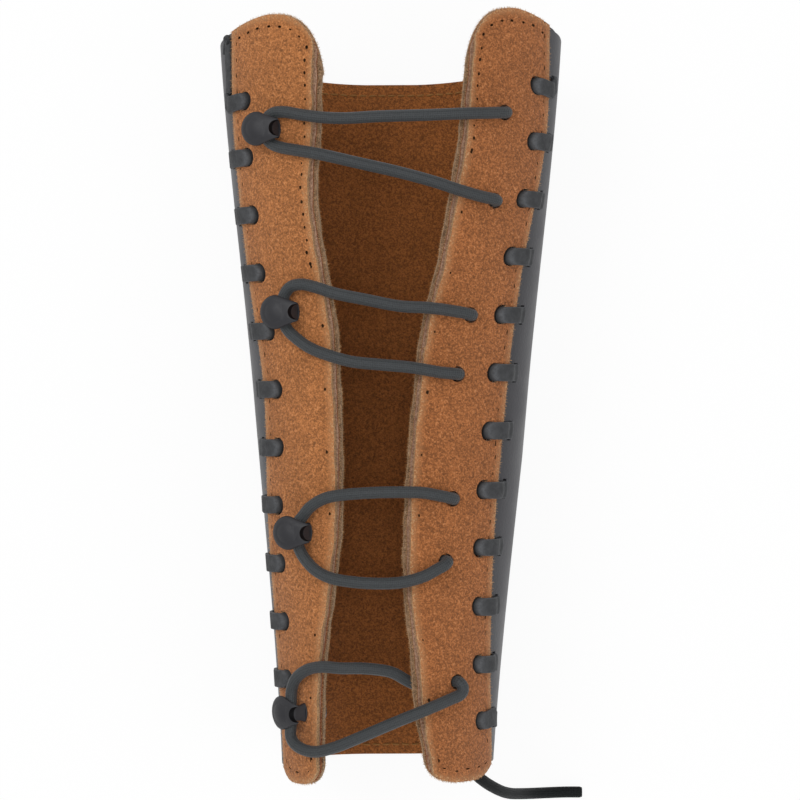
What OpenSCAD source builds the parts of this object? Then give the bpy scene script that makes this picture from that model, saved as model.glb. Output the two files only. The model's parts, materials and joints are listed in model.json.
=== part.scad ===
// Archery arm guard: a rigid back in smooth leather with a suede lining, two suede wings laced to its
// sides with flat thongs, and one elastic cord that closes it in four loops over four hooks.
// It lies on its back with the opening up. X runs across, Y from wrist to elbow, Z up.

/* [Shell] */
// Overall length from the wrist end to the elbow end
guard_length = 238; // [225:1:250]
// Width across the back at the elbow end
elbow_width = 108; // [100:1:116]
// Width across the back half way along
middle_width = 86; // [82:1:90]
// Width across the back at the wrist end
wrist_width = 68; // [64:1:72]
// Depth from the flat of the back to the crown at the elbow end
elbow_depth = 64; // [58:1:70]
// Depth from the flat of the back to the crown at the wrist end
wrist_depth = 62; // [56:1:68]
// Width of the flat strip along the back that the guard rests on
rest_width = 16; // [12:1:20]
// How far the elbow edge of the back is cut away at its middle
elbow_dip = 10; // [4:1:14]

/* [Leather] */
// Thickness of the smooth leather of the back
back_thickness = 2.4; // [2:0.1:3]
// Thickness of the suede on the outside of the wings
suede_thickness = 1.4; // [1.1:0.1:1.8]
// Thickness of the stiffener inside the wings
core_thickness = 1.1; // [0.8:0.1:1.3]
// Thickness of the suede lining of the back and the wings
lining_thickness = 1.2; // [1:0.1:1.5]
// Gap left between two plies of one laminate
ply_gap = 0.1; // [0.08:0.01:0.15]
// Gap between the back and the suede that laps over its edge
lap_gap = 0.3; // [0.25:0.05:0.4]
// How far the suede of a wing laps over the edge of the back
wing_lap = 4; // [3:0.5:4.5]
// Gap between the edge of the back and the inner plies that meet it
butt_gap = 0.6; // [0.4:0.1:0.8]
// How far each ply stands out past the one above it along the raw inner edge
ply_step = 1.2; // [0.8:0.1:1.6]
// How far the edge of the back's lining lies inside the leather edge
lining_inset = 0.8; // [0.4:0.1:1.5]
// Gap between the slots of the back and the side edges of its lining
lining_side_gap = 0.4; // [0.3:0.05:0.5]

/* [Wing outline] */
// Height of the rounded corner of a wing at the elbow end
elbow_corner = 22; // [16:1:26]
// How far the elbow end of a wing falls towards its seam
elbow_heel = 4; // [3:0.5:8]
// How much further the elbow end of the right wing reaches than that of the left
elbow_skew = 2; // [0:0.5:3]
// Height of the rounded corner of a wing at the wrist end
wrist_corner = 9; // [6:1:12]
// How far the wrist end of a wing falls towards its seam
wrist_heel = 4; // [2:0.5:6]
// How much further the wrist end of the left wing reaches than that of the right
wrist_skew = 1.2; // [0:0.2:2]
// Length of the ends over which one wing is drawn back from the other
skew_blend = 15; // [12:1:16]
// Length over which the elbow end is drawn to its outline
elbow_blend = 45; // [40:1:50]
// Length over which the wrist end is drawn to its outline
wrist_blend = 30; // [26:1:34]

/* [Lacing] */
// Number of stitches along each seam
lace_count = 12; // [10:1:12]
// Distance from one stitch to the next
lace_pitch = 18; // [17:0.5:18]
// Place of the stitch nearest the elbow on the left seam, from the middle of the guard
left_lace_start = 92; // [88:1:95]
// Place of the stitch nearest the elbow on the right seam, from the middle of the guard
right_lace_start = 97; // [92:1:100]
// Width of the flat thong
lace_width = 5.3; // [4.5:0.1:6]
// Thickness of the flat thong
lace_thickness = 1.2; // [1:0.1:1.3]
// Gap on each side of a thong in its slot
lace_clearance = 0.3; // [0.2:0.05:0.4]
// Distance from the edge of the wing to its row of lacing holes
hole_inset = 6.2; // [6:0.1:7]
// Distance from the edge of the wing to the row of slots in the back
slot_offset = 5.4; // [5:0.1:6.5]
// Gap between a thong and the inside of the back that it runs along
lace_inside_gap = 0.5; // [0.4:0.05:0.6]
// Length in which a thong turns from along the leather to straight through it
lace_turn = 1.4; // [1.3:0.05:1.5]

/* [Hooks] */
// Diameter of the domed cap
cap_diameter = 10.4; // [9:0.2:11]
// Height of the dome of the cap
cap_height = 2.2; // [1.6:0.1:2.8]
// Height of the throat from the suede to the underside of the cap
hook_throat = 5; // [5:0.1:6]
// Width of the neck at its waist, where the cord lies
neck_width = 4.4; // [4:0.1:4.6]
// Width of the neck at its foot and where it meets the cap
neck_flare = 6.2; // [5:0.1:6.4]
// Thickness of the neck
neck_thickness = 1.5; // [1.2:0.1:1.8]
// How far the middle of the cap stands off the neck
cap_offset = 3.8; // [3.6:0.1:4.4]
// Thickness of the shoulder between the cap and the neck
shoulder_thickness = 0.9; // [0.7:0.1:1.1]
// Diameter of the shank that goes through the wing
shank_diameter = 3; // [2.6:0.1:3.4]
// Length of the oval foot that lies on the suede, across the neck's width
foot_length = 6.4; // [6:0.2:7.6]
// Width of the foot
foot_width = 3.9; // [3.6:0.1:4.4]
// Thickness of the foot
foot_thickness = 0.4; // [0.3:0.05:0.5]
// Height of the foot over the curved suede
foot_rise = 0.1; // [0.08:0.01:0.15]
// Diameter of the washer behind the wing
washer_diameter = 8; // [7:0.2:9]
// Thickness of the washer
washer_thickness = 0.8; // [0.6:0.1:1]
// Gap between the flat washer and the curved lining
washer_gap = 0.5; // [0.5:0.05:0.7]
// Gap round the shank in the plies and in the washer
shank_clearance = 0.1; // [0.05:0.01:0.15]
// Height of the head that is peened on the end of the shank
peen_height = 0.7; // [0.5:0.1:0.9]
// How far the peened head stands out round the shank
peen_lip = 0.7; // [0.5:0.1:0.9]
// Gap between the washer and the peened head
peen_gap = 0.2; // [0.1:0.05:0.3]

/* [Elastic] */
// Diameter of the elastic cord
cord_diameter = 3.6; // [3:0.1:3.6]
// Gap round the cord in the holes of the wing
cord_clearance = 0.6; // [0.5:0.05:0.8]
// Gap that keeps the cord off the neck, the foot and the cap
hook_clearance = 0.3; // [0.25:0.05:0.35]
// Gap between the cord and the leather that it lies on
cord_rest = 0.4; // [0.35:0.05:0.5]
// Gap between two pieces of the cord where they meet in a hole
cord_joint_gap = 0.3; // [0.2:0.05:0.4]
// Radius of the ring that the cord makes in its stopper knot
knot_radius = 2.4; // [2.2:0.1:2.8]
// Length of the cut end below the knot
knot_end = 2; // [1:0.5:3]

/* [Hidden] */
$fn = 48;

// Angles from the crown to the laced edge and the free edge of each wing, at even stations from wrist
// to elbow
left_seam = [68, 68, 67, 61, 66, 67, 63];
right_seam = [67, 57, 52, 53, 57, 66, 63];
left_free = [37.6, 36, 32.7, 26.7, 21.4, 20.3, 20, 20.4, 24.2, 26.7, 24.9, 23.9, 23];
right_free = [18.8, 13.5, 10.5, 6.8, 6, 7.5, 9.6, 12.1, 17.9, 21.4, 24.4, 25.1, 25.8];

// Heights of the faces of each ply over the outside of the back, underside first
back_ply = [-back_thickness, 0];
back_lining_ply = [back_ply[0] - ply_gap - lining_thickness, back_ply[0] - ply_gap];
suede_ply = [lap_gap, lap_gap + suede_thickness];
core_ply = [lap_gap - ply_gap - core_thickness, lap_gap - ply_gap];
lining_ply = [core_ply[0] - ply_gap - lining_thickness, core_ply[0] - ply_gap];

// Places of the hooks and of the cord's holes, seen from above
hook_places = [[-34.1, 82], [-28.3, 26.1], [-24.4, -41.2], [-26, -96.7]];
hook_leans = [0, 0, 0, 6];

// Room that each loop leaves at its hook, past the neck
bight_slack = [0.5, 1.3, 0.7, 0.8];
cord_holes = [[35, 87], [32, 60], [24.5, 25], [20.5, 7], [19, -31], [17, -50], [20.5, -87]];

// Height of the cord's centre over the back where it lies on a wing, in a bight and under a wing
cord_radius = cord_diameter / 2;
cord_top = suede_ply[1] + cord_rest + cord_radius;
cord_bight = suede_ply[1] + foot_rise + foot_thickness + hook_clearance + cord_radius;
cord_under = lining_ply[0] - cord_rest - cord_radius;

// Strands of the loops seen from above, from the hole to the hook and from the hook to the next hole:
// across, along, and the height over the outside of the back
upper_strands = [
    [[30.5, 86.5, cord_top + 0.1], [22, 86, cord_top], [12, 85.5, 2.4], [-4, 85, 1.8], [-14, 84.5, 2.6],
        [-20.5, 84.8, cord_top - 0.2], [-27, 85.8, cord_top], [-32.6, 86.9, cord_top], [-36, 86.6, cord_top]],
    [[20, 26, cord_top + 0.1], [12, 27, cord_top], [3, 27.5, 3], [-7.5, 29.5, 3.4], [-17, 31.5, cord_top],
        [-23, 33.5, cord_top], [-27.3, 34.4, cord_top], [-30.6, 33.6, cord_top],
        [-32.4, 31.2, cord_top]],
    [[14.5, -29.8, cord_top + 0.1], [10, -29, cord_top], [4, -28.8, cord_top - 0.1], [-6, -29, 3.4],
        [-17, -30, cord_top],
        [-20.8, -31.1, cord_top], [-24.6, -33.6, cord_top], [-27, -36.6, cord_top]],
    [[10, -88.5, cord_under], [5.5, -86.5, cord_under], [0.5, -84, -2.4], [-7.5, -82.5, 1.2],
        [-15, -82.3, cord_top], [-21, -82.1, cord_top], [-25.4, -83.2, cord_top + 0.1],
        [-28.9, -86, cord_top + 0.2], [-30.3, -89.4, cord_top + 0.2]]];
lower_strands = [
    [[-36.2, 77.4, cord_top], [-33.5, 76.2, cord_top], [-30, 75.4, cord_top], [-22, 73.8, cord_top],
        [-10, 71, 2.4], [3, 68, 2.2], [14, 65, cord_top - 0.2],
        [21, 62.8, cord_top], [28, 61, cord_top + 0.1]],
    [[-31.5, 20.8, cord_top], [-28.7, 18, cord_top], [-24.4, 15, cord_top], [-19, 12.8, cord_top],
        [-12, 10.8, 3.6], [-3, 9.8, 3], [6, 9, cord_top - 0.1],
        [16, 7.4, cord_top + 0.1]],
    [[-27.6, -46.8, cord_top], [-25.7, -49.8, cord_top], [-22.6, -52.8, cord_top],
        [-18.5, -54.8, cord_top], [-12, -56, 3.6], [-3, -56.5, 3.2], [4, -56, cord_top],
        [10.5, -54.2, cord_top], [14.2, -52.2, cord_top + 0.1]],
    [[-30.6, -104.1, cord_top + 1], [-28.5, -106.8, cord_top + 1], [-23.6, -108.2, cord_top + 0.2],
        [-17.5, -106.8, 3.2], [-9, -103.2, 2.6], [2, -98.4, 3], [11, -94.8, cord_top], [18, -92, cord_top],
        [21.6, -90.4, cord_top + 0.1]]];

// Runs behind the right wing, as the strands are written: from hole 2 to 3, 4 to 5 and 6 to 7
bridges = [
    [[30.5, 54, cord_under], [28.5, 43, cord_under], [26, 31, cord_under]],
    [[20.8, 1, cord_under], [20.6, -12, cord_under], [19.6, -25, cord_under]],
    [[17.5, -56, cord_under], [19, -68, cord_under], [20.2, -81, cord_under]]];
end_run = [[11, -89.1, cord_under], [16, -93.5, cord_under], [21, -99.5, cord_under - 0.8],
    [26, -106, -6.8], [31, -112, -6.3]];

// The free tail in plain coordinates, from the wrist corner down to the floor
tail = [[24.6, -112.5, 43.5], [26.4, -116.4, 41.6], [29.2, -119.8, 38], [32.4, -122.6, 33], [35.4, -124.7, 27],
    [38.2, -126.2, 20.3], [41.4, -127.2, 13.4], [45.6, -127.9, 7.4], [51, -128.2, 3.4], [56.5, -128.2, 1.95],
    [62, -128.2, 1.9]];

function mix(a, b, t) = a + (b - a) * t;
function unit(v) = v / norm(v);
function clamp01(t) = min(max(t, 0), 1);

// Value at y of a quantity that is known at even stations from wrist to elbow, as a smooth curve
function along(v, y) = let (
    n = len(v) - 1,
    p = clamp01(y / guard_length + 0.5) * n,
    i = min(floor(p), n - 1),
    t = p - i,
    a = v[max(i - 1, 0)], b = v[i], c = v[i + 1], d = v[min(i + 2, n)])
    b + t / 2 * (c - a + t * (2 * a - 5 * b + 4 * c - d + t * (3 * (b - c) + d - a)));

function half_width(y) = along([wrist_width, middle_width, elbow_width], y) / 2;
function half_depth(y) = mix(wrist_depth, elbow_depth, clamp01(y / guard_length + 0.5)) / 2;

// Point on the outside of the back. The angle q is 0 at the crown, minus on the left, and 180 at the
// side of the flat strip
function skin(q, y) = let (
    a = half_width(y), b = half_depth(y), f = abs(q) > 90 ? rest_width / 2 : 0)
    [sign(q) * (f + (a - f) * sin(abs(q))), y, b * (1 + cos(q))];
function skin_normal(q, y) = let (e = 0.5)
    unit(cross(skin(q + e, y) - skin(q - e, y), skin(q, y + e) - skin(q, y - e)));
function over(q, y, h) = skin(q, y) + h * skin_normal(q, y);

// Angle at which a point at the height h is seen from above at x. A place under a wing is written as
// that of the suede over it
function angle_at(x, y, h, rounds = 3) = rounds == 0 ?
    asin(x / half_width(y)) :
    asin((x - h * skin_normal(angle_at(x, y, h, rounds - 1), y)[0]) / half_width(y));
function over_place(p) = over(angle_at(p[0], p[1], max(p[2], suede_ply[1])), p[1], p[2]);

function degrees_per_mm(q, y) = 180 / PI / norm([half_width(y) * cos(q), half_depth(y) * sin(q)]);
function seam_angle(side, y) = along(side < 0 ? left_seam : right_seam, y);
function free_angle(side, y) = along(side < 0 ? left_free : right_free, y);

// Angle at a distance d inside the edge of the wing, or outside it where d is less than 0
function lap_angle(side, y, d) = let (q = seam_angle(side, y)) side * (q - d * degrees_per_mm(q, y));

// Outline of the ends of a wing: u is 0 at the seam and 1 at the free edge
heel_curve = 1.3;
function end_fall(u, heel, corner) =
    u < 0.5 ? heel * pow(1 - 2 * u, heel_curve) : corner * (1 - sqrt(1 - pow(min(2 * u - 1, 1), 3)));
function elbow_short(side) = side < 0 ? elbow_skew : 0;
function wrist_short(side) = side < 0 ? 0 : wrist_skew;
function near_end(y, reach) = clamp01((y - guard_length / 2) / reach + 1);
function drawn(side, y, u) = y
    - end_fall(u, elbow_heel, elbow_corner) * near_end(y, elbow_blend)
    - elbow_short(side) * near_end(y, skew_blend)
    + end_fall(u, wrist_heel, wrist_corner) * near_end(-y, wrist_blend)
    + wrist_short(side) * near_end(-y, skew_blend);

// Point of a wing at a distance d inside its edge, moved a share t of the way to the free edge, which
// is drawn back by trim
function wing_point(side, y, d, t, trim, h) = let (
    q0 = abs(lap_angle(side, y, d)),
    q1 = free_angle(side, y) + trim * degrees_per_mm(free_angle(side, y), y),
    q = mix(q0, q1, t),
    u = clamp01((seam_angle(side, y) - q) / (seam_angle(side, y) - free_angle(side, y))),
    yd = drawn(side, y, u))
    over(side * q, yd, h);

// Rows of points along a seam: the two sides of each stitch's opening, and a few at the ends
slot_length = lace_width + 2 * lace_clearance;
slot_width = lace_thickness + 2 * lace_clearance;
function lace_start(side) = side < 0 ? left_lace_start : right_lace_start;
function stitch_y(side, k) = lace_start(side) - k * lace_pitch;
function seam_rows(side, low, high) = let (
    last = stitch_y(side, lace_count - 1) - slot_length / 2,
    first = stitch_y(side, 0) + slot_length / 2)
    concat([low, mix(low, last, 0.5)],
        [for (k = [lace_count - 1:-1:0], e = [-0.5, 0.5]) stitch_y(side, k) + e * slot_length],
        [mix(first, high, 0.5), high]);
function row_cells(column) = [for (k = [0:lace_count - 1]) [2 + 2 * k, column]];

// A sheet between two grids of points, with some cells left open
module sheet(face, under, gaps = []) {
    rows = len(face);
    cols = len(face[0]);
    n = rows * cols;
    closed = [for (i = [0:rows - 2]) [for (j = [0:cols - 2])
        len([for (g = gaps) if (g == [i, j]) g]) == 0]];
    function filled(i, j) = i >= 0 && j >= 0 && i < rows - 1 && j < cols - 1 && closed[i][j];
    function wall(p, q) = [[p, q, q + n], [p, q + n, p + n]];
    polyhedron(
        points = concat([for (r = face) each r], [for (r = under) each r]),
        faces = [for (i = [0:rows - 2], j = [0:cols - 2]) if (filled(i, j))
            let (a = i * cols + j, b = a + 1, c = b + cols, d = a + cols)
            each concat(
                [[a, d, c], [a, c, b], [a + n, b + n, c + n], [a + n, c + n, d + n]],
                filled(i - 1, j) ? [] : wall(a, b),
                filled(i, j + 1) ? [] : wall(b, c),
                filled(i + 1, j) ? [] : wall(c, d),
                filled(i, j - 1) ? [] : wall(d, a))],
        convexity = 6);
}

// Columns of a wing from its seam: distance from the edge, and share of the way to the free edge
function wing_columns(first) = let (
    near = hole_inset - slot_width / 2, far = hole_inset + slot_width / 2)
    concat([[first, 0], [near, 0]], [for (t = [0, 0.33, 0.63, 0.85, 0.96, 1]) [far, t]]);

module wing_ply(side, ply, first, trim) {
    rows = seam_rows(side, -guard_length / 2, guard_length / 2);
    columns = wing_columns(first);
    last = len(columns) - 1;
    order = side < 0 ? [0:last] : [last:-1:0];
    function grid(h) = [for (y = rows) [for (j = order)
        wing_point(side, y, columns[j][0], columns[j][1], trim, h)]];
    sheet(grid(ply[1]), grid(ply[0]), row_cells(side < 0 ? 1 : last - 2));
}

// A bored ply of the left wing, which holds the hooks, or of the right wing, which holds the cord
module bored_ply(side, ply, first, trim) {
    depth = 12;
    places = side < 0 ? hook_places : cord_holes;
    bore = side < 0 ? shank_diameter + 2 * shank_clearance : cord_diameter + 2 * cord_clearance;
    difference() {
        wing_ply(side, ply, first, trim);
        for (p = places) place_frame(p) translate([0, 0, -depth / 2]) cylinder(d = bore, h = depth);
    }
}

// Puts its children at a place seen from above, on the suede, with X along the surface and Z out of it
module place_frame(p) {
    q = angle_at(p[0], p[1], suede_ply[1]);
    n = skin_normal(q, p[1]);
    e = unit(cross([0, 1, 0], n));
    f = cross(n, e);
    o = over(q, p[1], suede_ply[1]);
    multmatrix([[e[0], f[0], n[0], o[0]], [e[1], f[1], n[1], o[1]], [e[2], f[2], n[2], o[2]]]) children();
}
module hook_frame(k) place_frame(hook_places[k]) children();

// The back: columns from the edge under the left wing, round the flat strip, to the edge under the right.
// The rows run level from each seam as far as the slots, the first lead columns, and slant between them
function back_columns(first, near, far) = let (steps = 9)
    concat(first == undef ? [] : [[first, 0], [near, 0]], [for (i = [0:steps]) [far, i / steps]]);
function back_low(side) = wrist_heel + wrist_short(side) - guard_length / 2;
function back_high(side) = guard_length / 2 - elbow_heel - elbow_short(side);
function back_angle(side, y, c) = mix(abs(lap_angle(side, y, c[0])), 180, c[1]) * side;
function back_grid(columns, lead, rows_left, rows_right, h) = let (n = len(columns))
    [for (i = [0:len(rows_left) - 1]) [for (j = [0:2 * n - 1]) let (
        side = j < n ? -1 : 1,
        across = clamp01((j - lead) / (2 * (n - lead) - 1)),
        y = mix(rows_left[i], rows_right[i], across),
        drop = elbow_dip * pow(sin(180 * across), 2) * near_end(y, elbow_blend))
        over(back_angle(side, y, columns[j < n ? j : 2 * n - 1 - j]), y - drop, h)]];

module back_leather() {
    color([0.12, 0.12, 0.13]) {
        near = -slot_offset + slot_width / 2;
        far = -slot_offset - slot_width / 2;
        columns = back_columns(wing_lap, near, far);
        left = seam_rows(-1, back_low(-1), back_high(-1));
        right = seam_rows(1, back_low(1), back_high(1));
        sheet(back_grid(columns, 2, left, right, back_ply[0]),
            back_grid(columns, 2, left, right, back_ply[1]),
            concat(row_cells(1), row_cells(2 * len(columns) - 3)));
    }
}

module back_lining() {
    color([0.42, 0.24, 0.11]) {
        columns = back_columns(undef, 0, -slot_offset - slot_width / 2 - lining_side_gap);
        left = seam_rows(-1, back_low(-1) + lining_inset, back_high(-1) - lining_inset);
        right = seam_rows(1, back_low(1) + lining_inset, back_high(1) - lining_inset);
        kept = [0:2:len(left) - 1];
        rows_left = [for (i = kept) left[i]];
        rows_right = [for (i = kept) right[i]];
        sheet(back_grid(columns, 0, rows_left, rows_right, back_lining_ply[0]),
            back_grid(columns, 0, rows_left, rows_right, back_lining_ply[1]));
    }
}

inner_edge = wing_lap + butt_gap;
module left_wing_suede() color([0.66, 0.42, 0.24]) bored_ply(-1, suede_ply, 0, 2 * ply_step);
module left_wing_core() color([0.45, 0.36, 0.28]) bored_ply(-1, core_ply, inner_edge, ply_step);
module left_wing_lining() color([0.6, 0.42, 0.27]) bored_ply(-1, lining_ply, inner_edge, 0);
module right_wing_suede() color([0.6, 0.37, 0.2]) bored_ply(1, suede_ply, 0, 2 * ply_step);
module right_wing_core() color([0.45, 0.36, 0.28]) bored_ply(1, core_ply, inner_edge, ply_step);
module right_wing_lining() color([0.6, 0.42, 0.27]) bored_ply(1, lining_ply, inner_edge, 0);

// Frames carried along a route, so that the sides of a swept cord don't twist
function route_tangents(p) = [for (i = [0:len(p) - 1])
    unit(p[min(i + 1, len(p) - 1)] - p[max(i - 1, 0)])];
function carried(t, start) = [for (i = 0, n = unit(start - t[0] * (start * t[0])); i < len(t);
    i = i + 1, n = i < len(t) ? unit(n - t[i] * (n * t[i])) : n) n];

// A closed tube of rings of points, one after the other
module skinned(rings) {
    n = len(rings[0]);
    m = len(rings);
    polyhedron(
        points = [for (r = rings) each r],
        faces = concat(
            [[for (j = [0:n - 1]) j]],
            [for (i = [0:m - 2], j = [0:n - 1]) let (a = i * n + j, b = i * n + (j + 1) % n)
                each [[a, a + n, b + n], [a, b + n, b]]],
            [[for (j = [n - 1:-1:0]) (m - 1) * n + j]]),
        convexity = 6);
}

cord_sides = 8;
module cord(route) {
    t = route_tangents(route);
    n = carried(t, [0.3, 0.2, 1]);
    color([0.23, 0.24, 0.25]) skinned([for (i = [0:len(route) - 1]) [for (j = [0:cord_sides - 1])
        route[i] + cord_radius * (cos(360 * j / cord_sides) * n[i]
            + sin(360 * j / cord_sides) * cross(t[i], n[i]))]]);
}

// A flat thong along a route, with the direction of its width at each point
module thong(route, widths) {
    t = route_tangents(route);
    color([0.2, 0.2, 0.21]) skinned([for (i = [0:len(route) - 1]) let (
        a = widths[i] * lace_width / 2, b = unit(cross(t[i], widths[i])) * lace_thickness / 2)
        [route[i] + a + b, route[i] - a + b, route[i] - a - b, route[i] + a - b]]);
}

// One stitch, from inside under the wing, up its hole, over its edge and down the slot in the back:
// each entry is the distance from the edge and the height
lace_over = suede_ply[1] + lace_clearance + lace_thickness / 2;
lace_on_back = lace_clearance + lace_thickness / 2;
lace_inside = back_ply[0] - lace_inside_gap - lace_thickness / 2;
stitch = [
    [hole_inset - lace_turn, lace_inside, 0],
    [hole_inset - lace_turn / 4, lace_inside + lace_turn / 3, 0],
    [hole_inset, lace_inside + lace_turn, 0],
    [hole_inset, suede_ply[1] + lace_turn / 15, 0],
    [hole_inset - lace_turn / 3, lace_over - lace_turn / 6, 0],
    [hole_inset - lace_turn, lace_over, 0],
    [lace_turn / 3, lace_over, 0],
    [-lace_turn * 0.8, lace_over - lace_turn * 0.4, 0],
    [-lace_turn * 1.6, lace_on_back, 0],
    [-slot_offset + lace_turn * 0.6, lace_on_back, 1],
    [-slot_offset, lace_on_back - lace_turn / 2, 1],
    [-slot_offset, lace_inside + lace_turn * 0.65, 1],
    [-slot_offset + lace_turn / 3, lace_inside, 1]];

function stitch_point(side, y, s) = s[2] == 0 ?
    wing_point(side, y, s[0], 0, 0, s[1]) :
    over(lap_angle(side, y, s[0]), y, s[1]);
function stitch_width(side, y, s) = unit(stitch_point(side, y + 1, s) - stitch_point(side, y - 1, s));
module lacing(side) thong(
    [for (k = [0:lace_count - 1], s = stitch) stitch_point(side, stitch_y(side, k), s)],
    [for (k = [0:lace_count - 1], s = stitch) stitch_width(side, stitch_y(side, k), s)]);
module left_lace() lacing(-1);
module right_lace() lacing(1);

// A hook: foot and shank, a flat neck that bends over, and a domed cap on a flat shoulder, which leave
// the throat open towards the seam
washer_low = lining_ply[0] - suede_ply[1] - washer_gap - washer_thickness;
module hook(k) {
    bend = cap_offset / 2;
    neck_sink = 0.15;
    rim_step = 0.2;
    neck_low = foot_rise + foot_thickness / 2;
    bend_low = hook_throat + neck_sink - bend + neck_thickness / 2;
    neck_side = [[neck_flare / 2, neck_low],
        [neck_width / 2, foot_rise + foot_thickness + hook_clearance + cord_radius],
        [neck_flare / 2, hook_throat + neck_thickness]];
    dome_radius = (pow(cap_diameter / 2, 2) + pow(cap_height, 2)) / (2 * cap_height);
    color([0.22, 0.23, 0.25]) hook_frame(k) {
        shank_end = washer_low - peen_gap - peen_height;
        translate([0, 0, shank_end]) cylinder(d = shank_diameter, h = foot_rise + foot_thickness - shank_end);
        translate([0, 0, foot_rise]) scale([foot_width / foot_length, 1, 1])
            cylinder(d = foot_length, h = foot_thickness);
        translate([0, 0, shank_end]) cylinder(d = shank_diameter + 2 * peen_lip, h = peen_height);
        rotate([0, -hook_leans[k], 0]) {
            intersection() {
                rotate([90, 0, 0]) linear_extrude(neck_flare, center = true) {
                    translate([-neck_thickness / 2, neck_low]) square([neck_thickness, bend_low - neck_low]);
                    translate([-bend, bend_low]) intersection() {
                        difference() {
                            circle(bend + neck_thickness / 2);
                            circle(bend - neck_thickness / 2);
                        }
                        square(2 * bend);
                    }
                }
                rotate([90, 0, 90]) linear_extrude(4 * bend, center = true)
                    polygon(concat(neck_side, [for (p = reversed(neck_side)) [-p[0], p[1]]]));
            }
            hull() {
                translate([-cap_offset, 0, hook_throat])
                    cylinder(d = cap_diameter - 2 * rim_step, h = shoulder_thickness);
                translate([-bend, 0, hook_throat + neck_sink + shoulder_thickness / 2])
                    cube([cap_offset - 2 * rim_step, neck_flare, shoulder_thickness], center = true);
            }
            translate([-cap_offset, 0, hook_throat]) intersection() {
                translate([0, 0, cap_height - dome_radius]) sphere(dome_radius);
                cylinder(d = cap_diameter, h = cap_height + 1);
            }
        }
    }
}
module hook_1() hook(0);
module hook_2() hook(1);
module hook_3() hook(2);
module hook_4() hook(3);

module hook_washers() {
    color([0.5, 0.5, 0.52]) for (k = [0:len(hook_places) - 1]) hook_frame(k)
        translate([0, 0, washer_low]) difference() {
            cylinder(d = washer_diameter, h = washer_thickness);
            translate([0, 0, -1]) cylinder(d = shank_diameter + 2 * shank_clearance, h = washer_thickness + 2);
        }
}

// The bight of a loop round the neck of its hook, from the elbow side to the wrist side
function bight(k) = let (
    p = hook_places[k], q = angle_at(p[0], p[1], suede_ply[1]), n = skin_normal(q, p[1]),
    e = unit(cross([0, 1, 0], n)), f = cross(n, e), o = over(q, p[1], cord_bight),
    rx = neck_thickness / 2 + hook_clearance + cord_radius + bight_slack[k],
    ry = neck_width / 2 + hook_clearance + cord_radius,
    shift = -sin(hook_leans[k]) * (cord_bight - suede_ply[1]))
    [for (a = [146, 180, 214]) o + e * (rx * cos(a) + shift) + f * ry * sin(a)];

// The end of a strand that turns into hole h beside the place p: each step is a distance from the hole
// on that side and a height off the face of the wing, in radii of the cord. A piece above the wing and
// one behind it meet half way through
hole_steps = [[0.95, 1.2], [0.1, 0.8]] * cord_radius;
hole_meeting = (suede_ply[1] + lining_ply[0]) / 2;
function into_hole(h, p, above) = let (
    c = cord_holes[h], u = unit([p[0] - c[0], p[1] - c[1]]), side = above ? 1 : -1,
    face = above ? suede_ply[1] : lining_ply[0],
    steps = concat(
        [for (s = hole_steps) [s[0], face + side * s[1]]], [[0, hole_meeting + side * cord_joint_gap / 2]]))
    [for (s = steps) let (x = c[0] + s[0] * u[0], y = c[1] + s[0] * u[1])
        over(angle_at(x, y, suede_ply[1]), y, s[1])];
function reversed(v) = [for (i = [len(v) - 1:-1:0]) v[i]];
function strand(points) = [for (p = points) over_place(p)];
function loop_route(k, first_hole, last_hole) = let (up = upper_strands[k], low = lower_strands[k])
    concat(
        first_hole < 0 ? [] : reversed(into_hole(first_hole, up[0], true)),
        strand(up), bight(k), strand(low),
        into_hole(last_hole, low[len(low) - 1], true));
module elastic_loop_1() cord(loop_route(0, 0, 1));
module elastic_loop_2() cord(loop_route(1, 2, 3));
module elastic_loop_3() cord(loop_route(2, 4, 5));
module elastic_loop_4() cord(loop_route(3, -1, 6));

// A run behind the wing, from one hole to the next
function bridge_route(k) = let (b = bridges[k]) concat(
    reversed(into_hole(2 * k + 1, b[0], false)), strand(b),
    into_hole(2 * k + 2, b[len(b) - 1], false));
module elastic_bridge_1() cord(bridge_route(0));
module elastic_bridge_2() cord(bridge_route(1));
module elastic_bridge_3() cord(bridge_route(2));
module elastic_end_run() cord(strand(end_run));
module elastic_tail() cord(tail);

// The stopper knot at the start of the cord, drawn up against the lining behind the first hole
module elastic_knot() {
    top = lining_ply[0] - suede_ply[1] - cord_rest;
    depth = cord_diameter + knot_end;
    color([0.23, 0.24, 0.25]) place_frame(cord_holes[0]) {
        translate([0, 0, top - cord_radius]) rotate_extrude() translate([knot_radius, 0]) circle(cord_radius);
        translate([0, 0, top - depth]) cylinder(r = cord_radius, h = depth);
    }
}

back_leather();
back_lining();
left_wing_suede();
left_wing_core();
left_wing_lining();
right_wing_suede();
right_wing_core();
right_wing_lining();
left_lace();
right_lace();
hook_1();
hook_2();
hook_3();
hook_4();
hook_washers();
elastic_loop_1();
elastic_loop_2();
elastic_loop_3();
elastic_loop_4();
elastic_bridge_1();
elastic_bridge_2();
elastic_bridge_3();
elastic_end_run();
elastic_knot();
elastic_tail();
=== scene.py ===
"""Dresses the frame of an archery arm guard: smooth black leather at the back, suede wings laced to its
sides with flat thongs, four enamelled hooks, and one elastic cord that closes the guard in four loops.

Places are worked out in millimetres, by the same rules as the frame, and become metres in the meshes.
X runs across the guard, Y from its wrist end to its elbow end, and Z up."""
import json
import math

import bmesh
import bpy
import numpy as np
from mathutils import Matrix, Vector
from mathutils.kdtree import KDTree


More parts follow.
